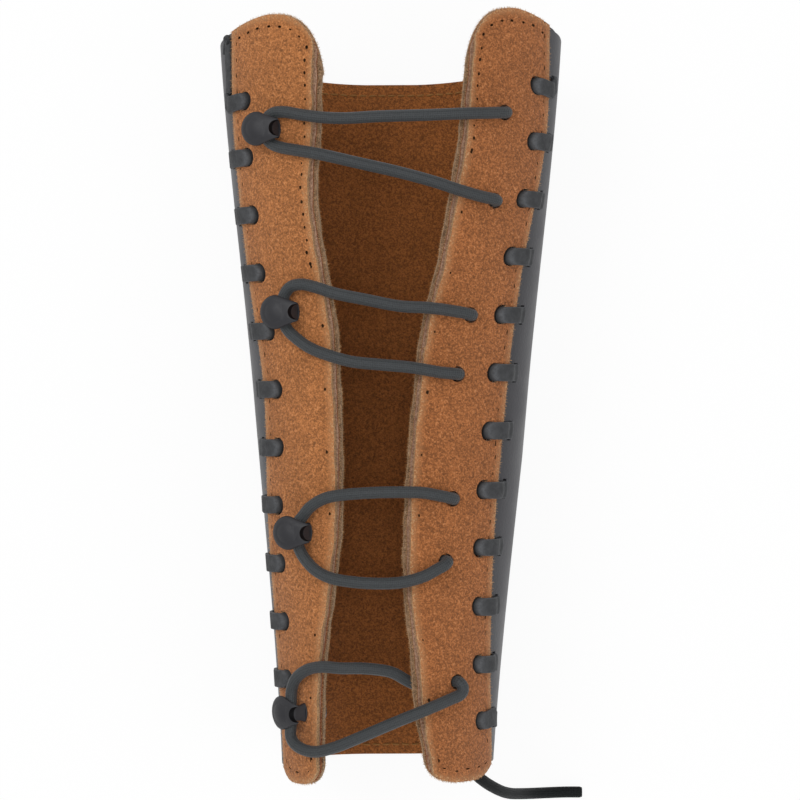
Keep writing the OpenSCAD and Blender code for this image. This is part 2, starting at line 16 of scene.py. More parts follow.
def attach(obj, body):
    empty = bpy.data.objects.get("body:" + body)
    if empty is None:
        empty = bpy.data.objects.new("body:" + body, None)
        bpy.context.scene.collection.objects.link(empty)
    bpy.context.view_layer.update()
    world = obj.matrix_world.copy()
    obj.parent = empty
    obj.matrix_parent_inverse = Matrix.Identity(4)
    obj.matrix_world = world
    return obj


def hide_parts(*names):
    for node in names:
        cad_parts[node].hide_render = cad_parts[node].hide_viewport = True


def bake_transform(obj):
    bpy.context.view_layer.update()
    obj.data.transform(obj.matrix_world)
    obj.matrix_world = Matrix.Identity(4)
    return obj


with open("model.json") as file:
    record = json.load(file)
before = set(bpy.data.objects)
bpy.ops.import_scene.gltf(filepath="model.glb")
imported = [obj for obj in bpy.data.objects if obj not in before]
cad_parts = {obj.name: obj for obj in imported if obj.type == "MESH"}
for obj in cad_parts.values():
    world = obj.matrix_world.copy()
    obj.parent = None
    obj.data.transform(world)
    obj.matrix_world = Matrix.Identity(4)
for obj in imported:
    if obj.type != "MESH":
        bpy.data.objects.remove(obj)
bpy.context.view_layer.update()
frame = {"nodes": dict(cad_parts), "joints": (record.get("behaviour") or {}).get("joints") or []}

bl_info = {
    "name": "Archery Arm Guard",
    "version": (1, 0, 0),
    "blender": (4, 5, 0),
    "location": "View3D > Sidebar > Arm Guard",
    "description": "Dresses the frame of a laced arm guard in leather, suede, enamel and elastic",
    "category": "Object",
}

JOINTS = {joint["name"]: joint for joint in frame["joints"]}
MM = 0.001


# Settings

def size(name, description, mm):
    return bpy.props.FloatProperty(
        name=name, description=description, default=mm * MM, unit="LENGTH", precision=4)


def colour(name, description, *rgb):
    """A colour setting, written as the red, green and blue that a screen shows, from 0 to 255."""
    linear = [(c / 255 / 12.92) if c < 11 else ((c / 255 + 0.055) / 1.055) ** 2.4 for c in rgb]
    return bpy.props.FloatVectorProperty(
        name=name, description=description, default=linear, subtype="COLOR", size=3, min=0, max=1)


class GuardShell(bpy.types.PropertyGroup):
    """Sizes of the shell and its plies."""
    guard_length: size("Length", "From the wrist end to the elbow end", 238)
    elbow_width: size("Elbow width", "Width across the back at the elbow end", 108)
    middle_width: size("Middle width", "Width across the back half way along", 86)
    wrist_width: size("Wrist width", "Width across the back at the wrist end", 68)
    elbow_depth: size("Elbow depth", "Depth from the flat to the crown at the elbow end", 64)
    wrist_depth: size("Wrist depth", "Depth from the flat to the crown at the wrist end", 62)
    rest_width: size("Flat width", "Width of the flat strip that the guard rests on", 16)
    elbow_dip: size("Elbow dip", "How far the elbow edge of the back is cut away at its middle", 12.9)
    elbow_round: size("Elbow round", "How far the corners of that edge fall away from the wings", 2)
    wrist_trim: size("Wrist trim", "How far the right seam is drawn in at the wrist end", 2)
    wrist_bow: size("Wrist bow", "How far the wrist edge of the back bows out at its middle", 1.6)
    back_thickness: size("Back", "Thickness of the smooth leather of the back", 2.4)
    suede_thickness: size("Suede", "Thickness of the suede on the outside of the wings", 1.4)
    core_thickness: size("Stiffener", "Thickness of the stiffener inside the wings", 1.1)
    lining_thickness: size("Lining", "Thickness of the suede lining", 1.2)
    ply_gap: size("Ply gap", "Gap between two plies of one laminate", 0.1)
    lap_gap: size("Lap gap", "Gap between the back and the suede that laps over it", 0.3)
    wing_lap: size("Lap", "How far the suede of a wing laps over the edge of the back", 4)
    butt_gap: size("Butt gap", "Gap between the edge of the back and the plies that meet it", 0.6)
    ply_step: size("Ply step", "How far each ply stands out past the one above it", 1.2)
    lining_inset: size("Lining inset", "How far the back's lining lies inside the leather edge", 0.15)
    lining_side_gap: size("Lining gap", "Gap between the slots of the back and its lining", 0.4)
    elbow_corner: size("Elbow corner", "Height of a wing's rounded corner at the elbow", 22)
    elbow_heel: size("Elbow heel", "How far the elbow end of a wing falls towards its seam", 4)
    elbow_skew: size("Elbow skew", "How much further the right wing reaches at the elbow", 2)
    wrist_corner: size("Wrist corner", "Height of a wing's rounded corner at the wrist", 9)
    wrist_heel: size("Wrist heel", "How far the wrist end of a wing falls towards its seam", 4)
    wrist_skew: size("Wrist skew", "How much further the left wing reaches at the wrist", 1.2)
    skew_blend: size("Skew blend", "Length over which one wing is drawn back from the other", 15)
    elbow_blend: size("Elbow blend", "Length over which the elbow end is drawn to its outline", 45)
    wrist_blend: size("Wrist blend", "Length over which the wrist end is drawn to its outline", 30)


class GuardLacing(bpy.types.PropertyGroup):
    """Sizes of the lacing along the seams."""
    lace_count: bpy.props.IntProperty(
        name="Stitches", description="Number of stitches along each seam", default=12, min=1)
    lace_pitch: size("Pitch", "Distance from one stitch to the next", 17.9)
    left_lace_start: size("Left start", "Place of the left stitch nearest the elbow", 92)
    right_lace_start: size("Right start", "Place of the right stitch nearest the elbow", 97)
    lace_width: size("Width", "Width of the flat thong", 5.3)
    lace_thickness: size("Thickness", "Thickness of the flat thong", 1.2)
    lace_clearance: size("Clearance", "Gap on each side of a thong in its slot", 0.3)
    hole_inset: size("Hole inset", "From the edge of the wing to its row of holes", 6.2)
    slot_offset: size("Slot offset", "From the edge of the wing to the slots in the back", 5.4)
    lace_inside_gap: size("Inside gap", "Gap between a thong and the inside of the back", 0.5)
    lace_turn: size("Turn", "Length in which a thong turns to go straight through", 1.4)


class GuardHooks(bpy.types.PropertyGroup):
    """Sizes of the hooks."""
    cap_diameter: size("Cap", "Diameter of the domed cap", 10.4)
    cap_height: size("Dome", "Height of the dome of the cap", 2.2)
    hook_throat: size("Throat", "From the suede to the underside of the cap", 5)
    neck_width: size("Neck waist", "Width of the neck where the cord lies", 4.4)
    neck_flare: size("Neck flare", "Width of the neck at its foot and under the cap", 5.6)
    neck_thickness: size("Neck", "Thickness of the neck", 1.5)
    cap_offset: size("Cap offset", "How far the middle of the cap stands off the neck", 4.4)
    shoulder_thickness: size("Shoulder", "Thickness of the shoulder between cap and neck", 0.9)
    shoulder_reach: size("Shoulder reach", "How far the shoulder reaches past the neck", 3.1)
    shank_diameter: size("Shank", "Diameter of the shank that goes through the wing", 2.2)
    shank_clearance: size("Shank gap", "Gap round the shank in the plies", 0.1)
    foot_length: size("Foot", "Length of the oval foot, across the neck's width", 5.8)
    foot_width: size("Foot width", "Width of the oval foot", 2.5)
    foot_thickness: size("Foot thickness", "Thickness of the foot", 0.4)
    foot_rise: size("Foot rise", "Height of the foot over the curved suede", 0.1)
    washer_thickness: size("Washer thickness", "Thickness of the washer behind the wing", 0.8)
    washer_gap: size("Washer gap", "Gap between the washer and the lining", 0.5)
    peen_height: size("Peened head", "Height of the head on the end of the shank", 0.7)
    peen_lip: size("Peened lip", "How far that head stands out round the shank", 0.7)
    peen_gap: size("Peen gap", "Gap between the washer and the peened head", 0.2)


class GuardElastic(bpy.types.PropertyGroup):
    """Sizes of the elastic cord."""
    cord_diameter: size("Diameter", "Diameter of the elastic cord", 3.6)
    cord_clearance: size("Hole gap", "Gap round the cord in the holes of the wing", 0.6)
    hook_clearance: size("Hook gap", "Gap that keeps the cord off the hooks", 0.3)
    cord_rest: size("Rest", "Gap between the cord and the leather that it lies on", 0.4)
    cord_joint_gap: size("Joint gap", "Gap between two pieces of the cord in a hole", 0.3)
    knot_radius: size("Knot", "Radius of the ring in the stopper knot", 2.4)
    knot_end: size("Knot end", "Length of the cut end below the knot", 2)
    braid_pitch: size("Braid", "Distance along the cord from one braid strand to the next", 1.1)


class GuardStitching(bpy.types.PropertyGroup):
    """Sizes of the needle holes, the thread and the loose fibres."""
    needle_pitch: size("Needle pitch", "Distance from one needle hole to the next", 3.9)
    needle_inset: size("Needle inset", "From a wing's free edge to its needle holes", 2.1)
    needle_end_inset: size("End inset", "From a wing's ends to its needle holes", 3.7)
    needle_hole: size("Needle hole", "Width of a needle hole", 0.85)
    slit_pitch: size("Slit pitch", "Distance from one slit along the seam to the next", 4.8)
    slit_inset: size("Slit inset", "From the laced edge of a wing to its row of slits", 2.3)
    thread_pitch: size("Thread pitch", "Distance from one stitch of thread to the next", 3.1)
    thread_diameter: size("Thread", "Diameter of the thread", 0.65)
    thread_elbow_inset: size("Elbow thread", "From the elbow end of the lining to its thread", 6.1)
    thread_wrist_inset: size("Wrist thread", "From the wrist end of the lining to its thread", 3)
    fibre_pitch: size("Fibre pitch", "Distance along a raw edge from one fibre to the next", 0.28)
    fibre_length: size("Fibre length", "Length of the longest fibres on a raw edge", 0.9)
    fibre_thickness: size("Fibre", "Thickness of a fibre where it leaves the leather", 0.13)


class GuardFinish(bpy.types.PropertyGroup):
    """Colours of the materials."""
    left_suede: colour("Left suede", "Suede of the left wing", 155, 98, 54)
    right_suede: colour("Right suede", "Suede of the right wing", 143, 87, 47)
    lining: colour("Lining", "Suede lining of the back", 138, 82, 38)
    ply: colour("Wing lining", "Suede lining of the wings", 138, 108, 80)
    ply_edge: colour("Wing lining edge", "Cut edge of the wings' lining", 166, 140, 112)
    raw: colour("Raw edge", "Cut edge of the suede", 192, 152, 110)
    stiffener: colour("Stiffener", "Fibrous stiffener inside the wings", 158, 126, 104)
    leather: colour("Leather", "Smooth leather of the back", 44, 43, 48)
    thong: colour("Thong", "Leather of the thongs", 50, 51, 53)
    enamel: colour("Enamel", "Enamel on the hooks", 34, 34, 38)
    steel: colour("Steel", "Washers behind the wings", 150, 150, 152)
    elastic: colour("Elastic", "Woven cover of the elastic cord", 42, 45, 47)
    thread: colour("Thread", "Thread along the ends of the lining", 140, 96, 46)


GROUPS = {"guard_shell": GuardShell, "guard_lacing": GuardLacing, "guard_hooks": GuardHooks,
          "guard_elastic": GuardElastic, "guard_stitching": GuardStitching}


class Measures:
    """Every size in millimetres, and the heights over the outside of the back that follow from them."""

    def read(self, scene):
        for group in GROUPS:
            settings = getattr(scene, group)
            for key in GROUPS[group].__annotations__:
                value = getattr(settings, key)
                setattr(self, key, value if isinstance(value, int) else value / MM)
        self.back_ply = (-self.back_thickness, 0.0)
        low = self.back_ply[0] - self.ply_gap
        self.back_lining_ply = (low - self.lining_thickness, low)
        self.suede_ply = (self.lap_gap, self.lap_gap + self.suede_thickness)
        top = self.lap_gap - self.ply_gap
        self.core_ply = (top - self.core_thickness, top)
        top = self.core_ply[0] - self.ply_gap
        self.lining_ply = (top - self.lining_thickness, top)
        self.slot_length = self.lace_width + 2 * self.lace_clearance
        self.slot_width = self.lace_thickness + 2 * self.lace_clearance
        self.cord_radius = self.cord_diameter / 2
        self.cord_top = self.suede_ply[1] + self.cord_rest + self.cord_radius
        self.cord_bight = (self.suede_ply[1] + self.foot_rise + self.foot_thickness
                           + self.hook_clearance + self.cord_radius)
        self.cord_under = self.lining_ply[0] - self.cord_rest - self.cord_radius


m = Measures()

# Angles from the crown to the laced edge and the free edge of the left (-1) and right (1) wing, at even
# stations from wrist to elbow
SEAM = {-1: [68, 68, 67, 61, 66, 67, 63], 1: [67, 57, 52, 53, 57, 66, 63]}
FREE = {-1: [37.6, 36, 32.7, 26.7, 21.4, 20.3, 20, 20.4, 24.2, 26.7, 24.9, 23.9, 23],
        1: [18.8, 13.5, 10.5, 6.8, 6, 7.5, 9.6, 12.1, 17.9, 21.4, 24.4, 25.1, 25.8]}
SIDES = {-1: "left", 1: "right"}
# Powers of the curves in which the wings' ends fall to the seam, and the back's ends bow
ELBOW_CURVE, WRIST_CURVE = 1.3, 3.0
END_CURVE = 1.2
# Length over which the right seam is drawn in to the wrist
WRIST_TRIM_REACH = 100
# How far the free edges are drawn back, and their share of the step between plies, from wrist to elbow
EDGE_SHIFT = {-1: [0.6, 0.75, 0.3], 1: [0, 0, 0]}
EDGE_SPREAD = {-1: [0.15, 0.72, 0.9], 1: [1, 0.7, 0.9]}
# Places along the guard below which few needle holes show in the nap
NEEDLES_TO = {-1: 40, 1: 75}
# How far a free edge wavers to each side
EDGE_WAVER = 0.3
# Steps of a grid from the wrist end to the first slot, between slots, across a slot, and to the elbow end
BACK_STEPS = (6, 6, 3, 12)
WING_STEPS = (14, 7, 14, 26)
# Step along a cord and sides of its tube, reach of a hole's cutter to each side, and angle of a sharp edge
CORD_STEP, CORD_SIDES = 0.8, 20
CUT_REACH = 6
SHARP = math.radians(40)

# Hooks on the left wing as seen from above: (across, along)
HOOK_PLACES = [(-34.5, 82), (-28.7, 26.1), (-24.8, -41.2), (-26.3, -96.7)]
# Degrees by which each hook leans, and by which the cord round it follows
HOOK_LEANS = [0, 0, 0, 11]
BIGHT_LEANS = [0, 0, 0, 6]
# What is cut out of a hook's shoulder over its neck, as (radius, height)
HOLLOW = [(0, 1), (1.6, 1), (2.45, 5), (2.65, 9), (0, 9)]
# How much further than it must each loop stands off the neck of its hook
BIGHT_SLACK = [0.5, 1.3, 0.7, 0.8]
# The cord's holes in the right wing from elbow to wrist, and the two that each loop comes out of and goes
# into. The last loop comes round the wing's free edge instead of out of a hole
CORD_HOLES = [(35, 87), (32, 60), (24.5, 25), (20.5, 7), (19, -31), (17, -50), (20.5, -87)]
LOOP_HOLES = [(0, 1), (2, 3), (4, 5), (None, 6)]

# Knots at the ends of the thongs: side, distance from the laced edge, place along, width; and the ends
# that lie along the edge: side, points, width
LACE_KNOTS = [(-1, -2.6, 110.8, 2.9), (-1, -0.8, -112.6, 1.9), (1, -0.9, -111.2, 1.9)]
LACE_ENDS = [(-1, [(-2.6, 110.4), (-3.2, 105), (-2.6, 99), (-3.4, 94.5)], 3.2),
             (-1, [(-3.8, 111), (-5.2, 109.4), (-5.8, 106.6)], 1.3),
             (-1, [(-0.8, -112.8), (-1.0, -115.2)], 1.3), (1, [(-0.9, -110.8), (-1.0, -108.4)], 1.2)]

# Strands of the loops as seen from above: across, along, and the height over the outside of the back. TOP
# and UNDER stand for the heights at which the cord lies on a wing and behind one. The tail's points are
# (across, along, height over the floor)
TOP, UNDER = 100, -100
UPPER_STRANDS = [
    [(30.5, 86.5, TOP + 0.1), (22, 86, TOP), (12, 85.5, 2.4), (-4, 85, 1.8), (-14, 84.5, 2.6),
     (-20.5, 84.8, TOP - 0.2), (-27, 85.8, TOP), (-32.6, 86.9, TOP), (-36, 86.6, TOP)],
    [(20, 26, TOP + 0.1), (12, 27, TOP), (3, 27.5, 3), (-7.5, 29.5, 3.4), (-17, 31.5, TOP),
     (-23, 33.5, TOP), (-27.3, 34.4, TOP), (-30.6, 33.6, TOP), (-32.4, 31.2, TOP)],
    [(14.5, -29.8, TOP + 0.1), (10, -29, TOP), (4, -28.8, TOP - 0.1), (-6, -29, 3.4),
     (-17, -30, TOP), (-20.8, -31.1, TOP), (-24.6, -33.6, TOP), (-27, -36.6, TOP)],
    [(10, -88.5, UNDER), (5.5, -86.5, UNDER), (0.5, -84, -2.4), (-7.5, -82.5, 1.2),
     (-15, -82.3, TOP), (-21, -82.1, TOP), (-25.4, -83.2, TOP + 0.1), (-28.9, -86, TOP + 0.2),
     (-30.3, -89.4, TOP + 0.2)]]
LOWER_STRANDS = [
    [(-36.2, 77.4, TOP), (-33.5, 76.2, TOP), (-30, 75.4, TOP), (-22, 73.8, TOP),
     (-10, 71, 2.4), (3, 68, 2.2), (14, 65, TOP - 0.2), (21, 62.8, TOP), (28, 61, TOP + 0.1)],
    [(-31.5, 20.8, TOP), (-28.7, 18, TOP), (-24.4, 15, TOP), (-19, 12.8, TOP),
     (-12, 10.8, 3.6), (-3, 9.8, 3), (6, 9, TOP - 0.1), (16, 7.4, TOP + 0.1)],
    [(-27.6, -46.8, TOP), (-25.7, -49.8, TOP), (-22.6, -52.8, TOP), (-18.5, -54.8, TOP),
     (-12, -56, 3.6), (-3, -56.5, 3.2), (4, -56, TOP), (10.5, -54.2, TOP), (14.2, -52.2, TOP + 0.1)],
    [(-30.6, -104.1, TOP + 1), (-28.5, -106.8, TOP + 1), (-23.6, -108.2, TOP + 0.2),
     (-17.5, -106.8, 3.2), (-9, -103.2, 2.6), (2, -98.4, 3), (11, -94.8, TOP), (18, -92, TOP),
     (21.6, -90.4, TOP + 0.1)]]
BRIDGES = [
    [(30.5, 54, UNDER), (28.5, 43, UNDER), (26, 31, UNDER)],
    [(20.8, 1, UNDER), (20.6, -12, UNDER), (19.6, -25, UNDER)],
    [(17.5, -56, UNDER), (19, -68, UNDER), (20.2, -81, UNDER)]]
END_RUN = [(11, -89.1, UNDER), (15.4, -93.5, UNDER), (19.6, -99.5, UNDER - 0.8), (23.8, -106, -6.8),
           (28.2, -112, -6.3)]
TAIL = [(23.4, -112.5, 44), (25.6, -116.4, 42), (28.9, -119.8, 38.2), (32.4, -122.6, 33),
        (35.4, -124.7, 27), (38.2, -126.2, 20.3), (41.4, -127.2, 13.4), (45.6, -127.9, 7.4),
        (51, -128.2, 3.4), (56.5, -128.2, 1.95), (62, -128.2, 1.9)]

# Stage, in metres, watts and degrees: each lamp's name, place, power and width
CAMERA_PLACE, CAMERA_ANGLE = (0.00293, -0.00093, 0.95), 15.6
LAMPS = (("key_lamp", (-0.55, 0.45, 1.0), 5.2, 0.7), ("top_lamp", (0.02, 0.0, 1.4), 3.2, 0.3),
         ("fill_lamp", (0.7, -0.3, 0.8), 2.6, 0.9), ("end_lamp", (0.0, -0.9, 0.5), 1.2, 0.6))
LIT_PLACE = (0, 0, 0.03)
WORLD_STRENGTH = 0.55
FLOOR_REACH = 3.0


# Shape of the shell

def mix(a, b, t):
    return a + (b - a) * t


def unit(v):
    v = np.asarray(v, float)
    return v / np.linalg.norm(v, axis=-1, keepdims=True)


def along(values, y):
    """Value at y of a quantity that is known at even stations from wrist to elbow, as a smooth curve."""
    v = np.asarray(values, float)
    n = len(v) - 1
    p = np.clip(np.asarray(y, float) / m.guard_length + 0.5, 0, 1) * n
    i = np.minimum(np.floor(p).astype(int), n - 1)
    t = p - i
    a, b, c, d = v[np.maximum(i - 1, 0)], v[i], v[i + 1], v[np.minimum(i + 2, n)]
    return b + t / 2 * (c - a + t * (2 * a - 5 * b + 4 * c - d + t * (3 * (b - c) + d - a)))


def half_width(y, right=False):
    trim = m.wrist_trim * near_end(-np.asarray(y, float), WRIST_TRIM_REACH)
    return along([m.wrist_width, m.middle_width, m.elbow_width], y) / 2 - np.where(right, trim, 0)


def half_depth(y):
    return mix(m.wrist_depth, m.elbow_depth, np.clip(np.asarray(y) / m.guard_length + 0.5, 0, 1)) / 2


def skin(q, y):
    """Point on the outside of the back. The angle q is 0 at the crown, minus on the left and 180 at the
    side of the flat strip."""
    q, y = np.broadcast_arrays(np.asarray(q, float), np.asarray(y, float))
    a, b = half_width(y, q > 0), half_depth(y)
    f = np.where(np.abs(q) > 90, m.rest_width / 2, 0)
    x = np.sign(q) * (f + (a - f) * np.sin(np.radians(np.abs(q))))
    return np.stack([x, y, b * (1 + np.cos(np.radians(q)))], -1)


def skin_normal(q, y):
    e = 0.5
    return unit(np.cross(skin(q + e, y) - skin(q - e, y), skin(q, y + e) - skin(q, y - e)))


def over(q, y, h):
    q, y, h = np.broadcast_arrays(*(np.asarray(v, float) for v in (q, y, h)))
    return skin(q, y) + h[..., None] * skin_normal(q, y)


def angle_at(x, y, h):
    """Angle at which a point at the height h is seen from above at x."""
    half = half_width(y, np.asarray(x) > 0)
    q = np.degrees(np.arcsin(np.clip(x / half, -1, 1)))
    for _ in range(3):
        q = np.degrees(np.arcsin(np.clip((x - h * skin_normal(q, y)[..., 0]) / half, -1, 1)))
    return q


def over_place(points):
    """Places of points given as seen from above. One under a wing is written as that of the suede over
    it."""
    x, y, h = np.asarray(points, float).T
    h = np.where(h > TOP / 2, h - TOP + m.cord_top, np.where(h < UNDER / 2, h - UNDER + m.cord_under, h))
    return over(angle_at(x, y, np.maximum(h, m.suede_ply[1])), y, h)


def degrees_per_mm(q, y):
    r = np.radians(q)
    return 180 / math.pi / np.hypot(half_width(y) * np.cos(r), half_depth(y) * np.sin(r))


def lap_angle(side, y, d):
    """Angle at a distance d inside the edge of the wing, or outside it where d is less than 0."""
    q = along(SEAM[side], y)
    return q - d * degrees_per_mm(q, y)


def near_end(y, reach):
    """Share from 0 to 1 over the last length reach before the elbow end, or the wrist end for -y."""
    return np.clip((y - m.guard_length / 2) / reach + 1, 0, 1)


def elbow_short(side):
    return m.elbow_skew if side < 0 else 0


def wrist_short(side):
    return 0 if side < 0 else m.wrist_skew


def drawn(side, y, u):
    """Place along the guard of a point at a share u of the way from seam to free edge, drawn to the
    outline of the ends."""
    def fall(heel, curve, corner):
        near = heel * (1 - 2 * np.minimum(u, 0.5)) ** curve
        far = corner * (1 - np.sqrt(1 - np.clip(2 * u - 1, 0, 1) ** 3))
        return np.where(u < 0.5, near, far)
    return (y - fall(m.elbow_heel, ELBOW_CURVE, m.elbow_corner) * near_end(y, m.elbow_blend)
            - elbow_short(side) * near_end(y, m.skew_blend)
            + fall(m.wrist_heel, WRIST_CURVE, m.wrist_corner) * near_end(-y, m.wrist_blend)
            + wrist_short(side) * near_end(-y, m.skew_blend))


def wing_place(side, y, d, t, trim):
    """(angle, place along) of a point of a wing at a distance d inside its edge, moved a share t of the
    way to the free edge, which is drawn back by trim."""
    free = along(FREE[side], y)
    seam = along(SEAM[side], y)
    q = mix(lap_angle(side, y, d), free + trim * degrees_per_mm(free, y), t)
    return side * q, drawn(side, y, np.clip((seam - q) / (seam - free), 0, 1))


def stitches(side):
    """Number of stitches that are laced. The last one on the left seam is left out at the wrist."""
    return m.lace_count - (1 if side < 0 else 0)


def stitch_y(side, k):
    return (m.left_lace_start if side < 0 else m.right_lace_start) - k * m.lace_pitch


def seam_rows(side, low, high, counts):
    """(rows, place in its slot from -1 to 1 or nan) from wrist to elbow: counts are the steps from the
    wrist end to the first slot, between slots, across a slot, and on to the elbow end."""
    edges = [low]
    for k in reversed(range(m.lace_count)):
        y = stitch_y(side, k)
        edges += [y - m.slot_length / 2, y + m.slot_length / 2]
    edges.append(high)
    rows, across, laced = [], [], False
    for i, (a, b) in enumerate(zip(edges, edges[1:])):
        slot = i % 2 == 1
        n = counts[2] if slot else counts[0] if i == 0 else counts[3] if i == len(edges) - 2 else counts[1]
        share = np.arange(n) / n
        if i == 0:
            share = share ** 1.5
        if i == len(edges) - 2:
            share = 1 - (1 - share) ** 1.5
        if slot:
            share = (1 - np.cos(math.pi * share)) / 2
        ended, laced = laced, slot and (i > 1 or stitches(side) == m.lace_count)
        across += list(2 * share - 1) if laced else [1.0 if ended else np.nan] + [np.nan] * (n - 1)
        rows += list(a + (b - a) * share)
    return np.array(rows + [high]), np.array(across + [np.nan])


# Meshes

def new_object(name, points, faces):
    """An object with its place in its mesh, from points in millimetres."""
    mesh = bpy.data.meshes.new(name)
    mesh.from_pydata((np.asarray(points, float) * MM).tolist(), [], [tuple(map(int, f)) for f in faces])
    mesh.shade_smooth()
    mesh.set_sharp_from_angle(angle=SHARP)
    made = bpy.data.objects.new(name, mesh)
    bpy.context.scene.collection.objects.link(made)
    return made


def add_attribute(made, name, values):
    values = np.asarray(values, np.float32)
    kind = "FLOAT" if values.ndim == 1 else "FLOAT_VECTOR"
    attribute = made.data.attributes.new(name, kind, "POINT")
    attribute.data.foreach_set("value" if values.ndim == 1 else "vector", values.ravel())


def sheet(name, face, under, open_cells, rim):
    """A sheet between two grids of points, with some cells left open. Its rim attribute is the distance
    in millimetres to the nearest outer edge, and cut is 1 on the edges' own faces."""
    rows, cols = face.shape[:2]
    n = rows * cols
    index = np.arange(n).reshape(rows, cols)
    a, b, c, d = index[:-1, :-1], index[:-1, 1:], index[1:, 1:], index[1:, :-1]
    filled = np.pad(~open_cells, 1)
    here = filled[1:-1, 1:-1]
    quads = [np.stack([a, b, c, d], -1)[here], np.stack([d, c, b, a], -1)[here] + n]
    walls = []
    for p, q, beside in ((a, b, filled[:-2, 1:-1]), (b, c, filled[1:-1, 2:]),
                         (c, d, filled[2:, 1:-1]), (d, a, filled[1:-1, :-2])):
        walls.append(np.stack([q, p, p + n, q + n], -1)[here & ~beside])
    faces = np.concatenate(quads + walls)
    points = np.concatenate([face.reshape(-1, 3), under.reshape(-1, 3)])
    kept, faces = np.unique(faces, return_inverse=True)
    made = new_object(name, points[kept], faces.reshape(-1, 4))
    add_attribute(made, "rim", np.concatenate([rim.ravel(), rim.ravel()])[kept])
    cut = made.data.attributes.new("cut", "FLOAT", "FACE")
    values = np.zeros(len(faces.reshape(-1, 4)), np.float32)
    values[-sum(map(len, walls)):] = 1
    cut.data.foreach_set("value", values)
    return made


def rim_distance(points):
    """Distance in millimetres from each point of a grid to the grid's nearest side."""
    def run(p):
        steps = np.linalg.norm(np.diff(p, axis=0), axis=-1)
        return np.concatenate([np.zeros_like(steps[:1]), np.cumsum(steps, 0)])
    down, across = run(points), run(points.swapaxes(0, 1)).T
    return np.minimum.reduce([down, down[-1] - down, across, across[:, -1:] - across])


def finish_mesh(made):
    """Replaces the object's mesh by its evaluated one, and takes its modifiers off."""
    bpy.context.view_layer.update()
    graph = bpy.context.evaluated_depsgraph_get()
    mesh = bpy.data.meshes.new_from_object(made.evaluated_get(graph))
    made.modifiers.clear()
    old, made.data = made.data, mesh
    mesh.name = made.name
    bpy.data.meshes.remove(old)
    return made


def combine(made, others, operation):
    """Adds the other objects to this one, or cuts them out of it."""
    for other in others:
        boolean = made.modifiers.new("combine", "BOOLEAN")
        boolean.operation, boolean.solver, boolean.object = operation, "MANIFOLD", other
        boolean.material_mode = "TRANSFER"
        finish_mesh(made)
        bpy.data.objects.remove(other)
    return made


def cut_out(made, cutters):
    """Cuts other objects out of a ply. Its new vertices take the rim distance of the nearest old one."""
    tree = KDTree(len(made.data.vertices))
    for i, vertex in enumerate(made.data.vertices):
        tree.insert(vertex.co, i)
    tree.balance()
    before = [value.value for value in made.data.attributes["rim"].data]
    combine(made, cutters, "DIFFERENCE")
    after = [before[tree.find(vertex.co)[1]] for vertex in made.data.vertices]
    made.data.attributes["rim"].data.foreach_set("value", after)


def bevel(made, width, segments=2, angle=50):
    made.data.shade_smooth()
    edge = made.modifiers.new("edge", "BEVEL")
    edge.width, edge.segments, edge.limit_method = width * MM, segments, "ANGLE"
    edge.angle_limit = math.radians(angle)
    return made


def turned(name, profile, sides=48, place=None):
    """A closed solid turned from a profile of (radius, height) points that starts and ends on its axis."""
    r, z = np.asarray(profile, float)[1:-1].T
    a = np.linspace(0, 2 * math.pi, sides, endpoint=False)
    rings = np.stack([np.outer(r, np.cos(a)), np.outer(r, np.sin(a)), np.repeat(z[:, None], sides, 1)], -1)
    points = np.concatenate([rings.reshape(-1, 3), [[0, 0, profile[0][1]], [0, 0, profile[-1][1]]]])
    n, faces = len(r), []
    for i in range(sides):
        j = (i + 1) % sides
        faces.append((n * sides, j, i))
        faces.append((n * sides + 1, (n - 1) * sides + i, (n - 1) * sides + j))
        faces += [(k * sides + i, k * sides + j, (k + 1) * sides + j, (k + 1) * sides + i)
                  for k in range(n - 1)]
    if place is not None:
        points = points @ np.array(place[1]) + place[0]
    return outward(new_object(name, points, faces))


def outward(made):
    """Turns the faces of a closed mesh outwards."""
    work = bmesh.new()
    work.from_mesh(made.data)
    bmesh.ops.recalc_face_normals(work, faces=work.faces)
    work.to_mesh(made.data)
    work.free()
    return made


def swept(name, route, first, second, section):
    """A closed tube along a route: first and second are the directions of the section's axes at each
    point, and section has the same points everywhere, or its own at each point. Its UV map runs once
    round the tube and in millimetres along it."""
    route, section = np.asarray(route, float), np.asarray(section, float)
    if section.ndim == 2:
        section = np.repeat(section[None], len(route), 0)
    rings = route[:, None] + section[..., :1] * first[:, None] + section[..., 1:2] * second[:, None]
    count, sides = rings.shape[:2]
    points = np.concatenate([rings.reshape(-1, 3), [route[0], route[-1]]])
    faces, corners = [], []
    lengths = run_along(route)
    for i in range(count - 1):
        for j in range(sides):
            k = (j + 1) % sides
            faces.append((i * sides + j, i * sides + k, (i + 1) * sides + k, (i + 1) * sides + j))
            u0, u1 = j / sides, (j + 1) / sides
            corners += [(u0, lengths[i]), (u1, lengths[i]), (u1, lengths[i + 1]), (u0, lengths[i + 1])]
    for j in range(sides):
        k = (j + 1) % sides
        last = (count - 1) * sides
        faces += [(count * sides, k, j), (count * sides + 1, last + j, last + k)]
        corners += [(j / sides, lengths[0])] * 3 + [(j / sides, lengths[-1])] * 3
    made = new_object(name, points, faces)
    uv = made.data.uv_layers.new(name="UVMap")
    uv.data.foreach_set("uv", np.array(corners, np.float32).ravel())
    return outward(made)


# Routes

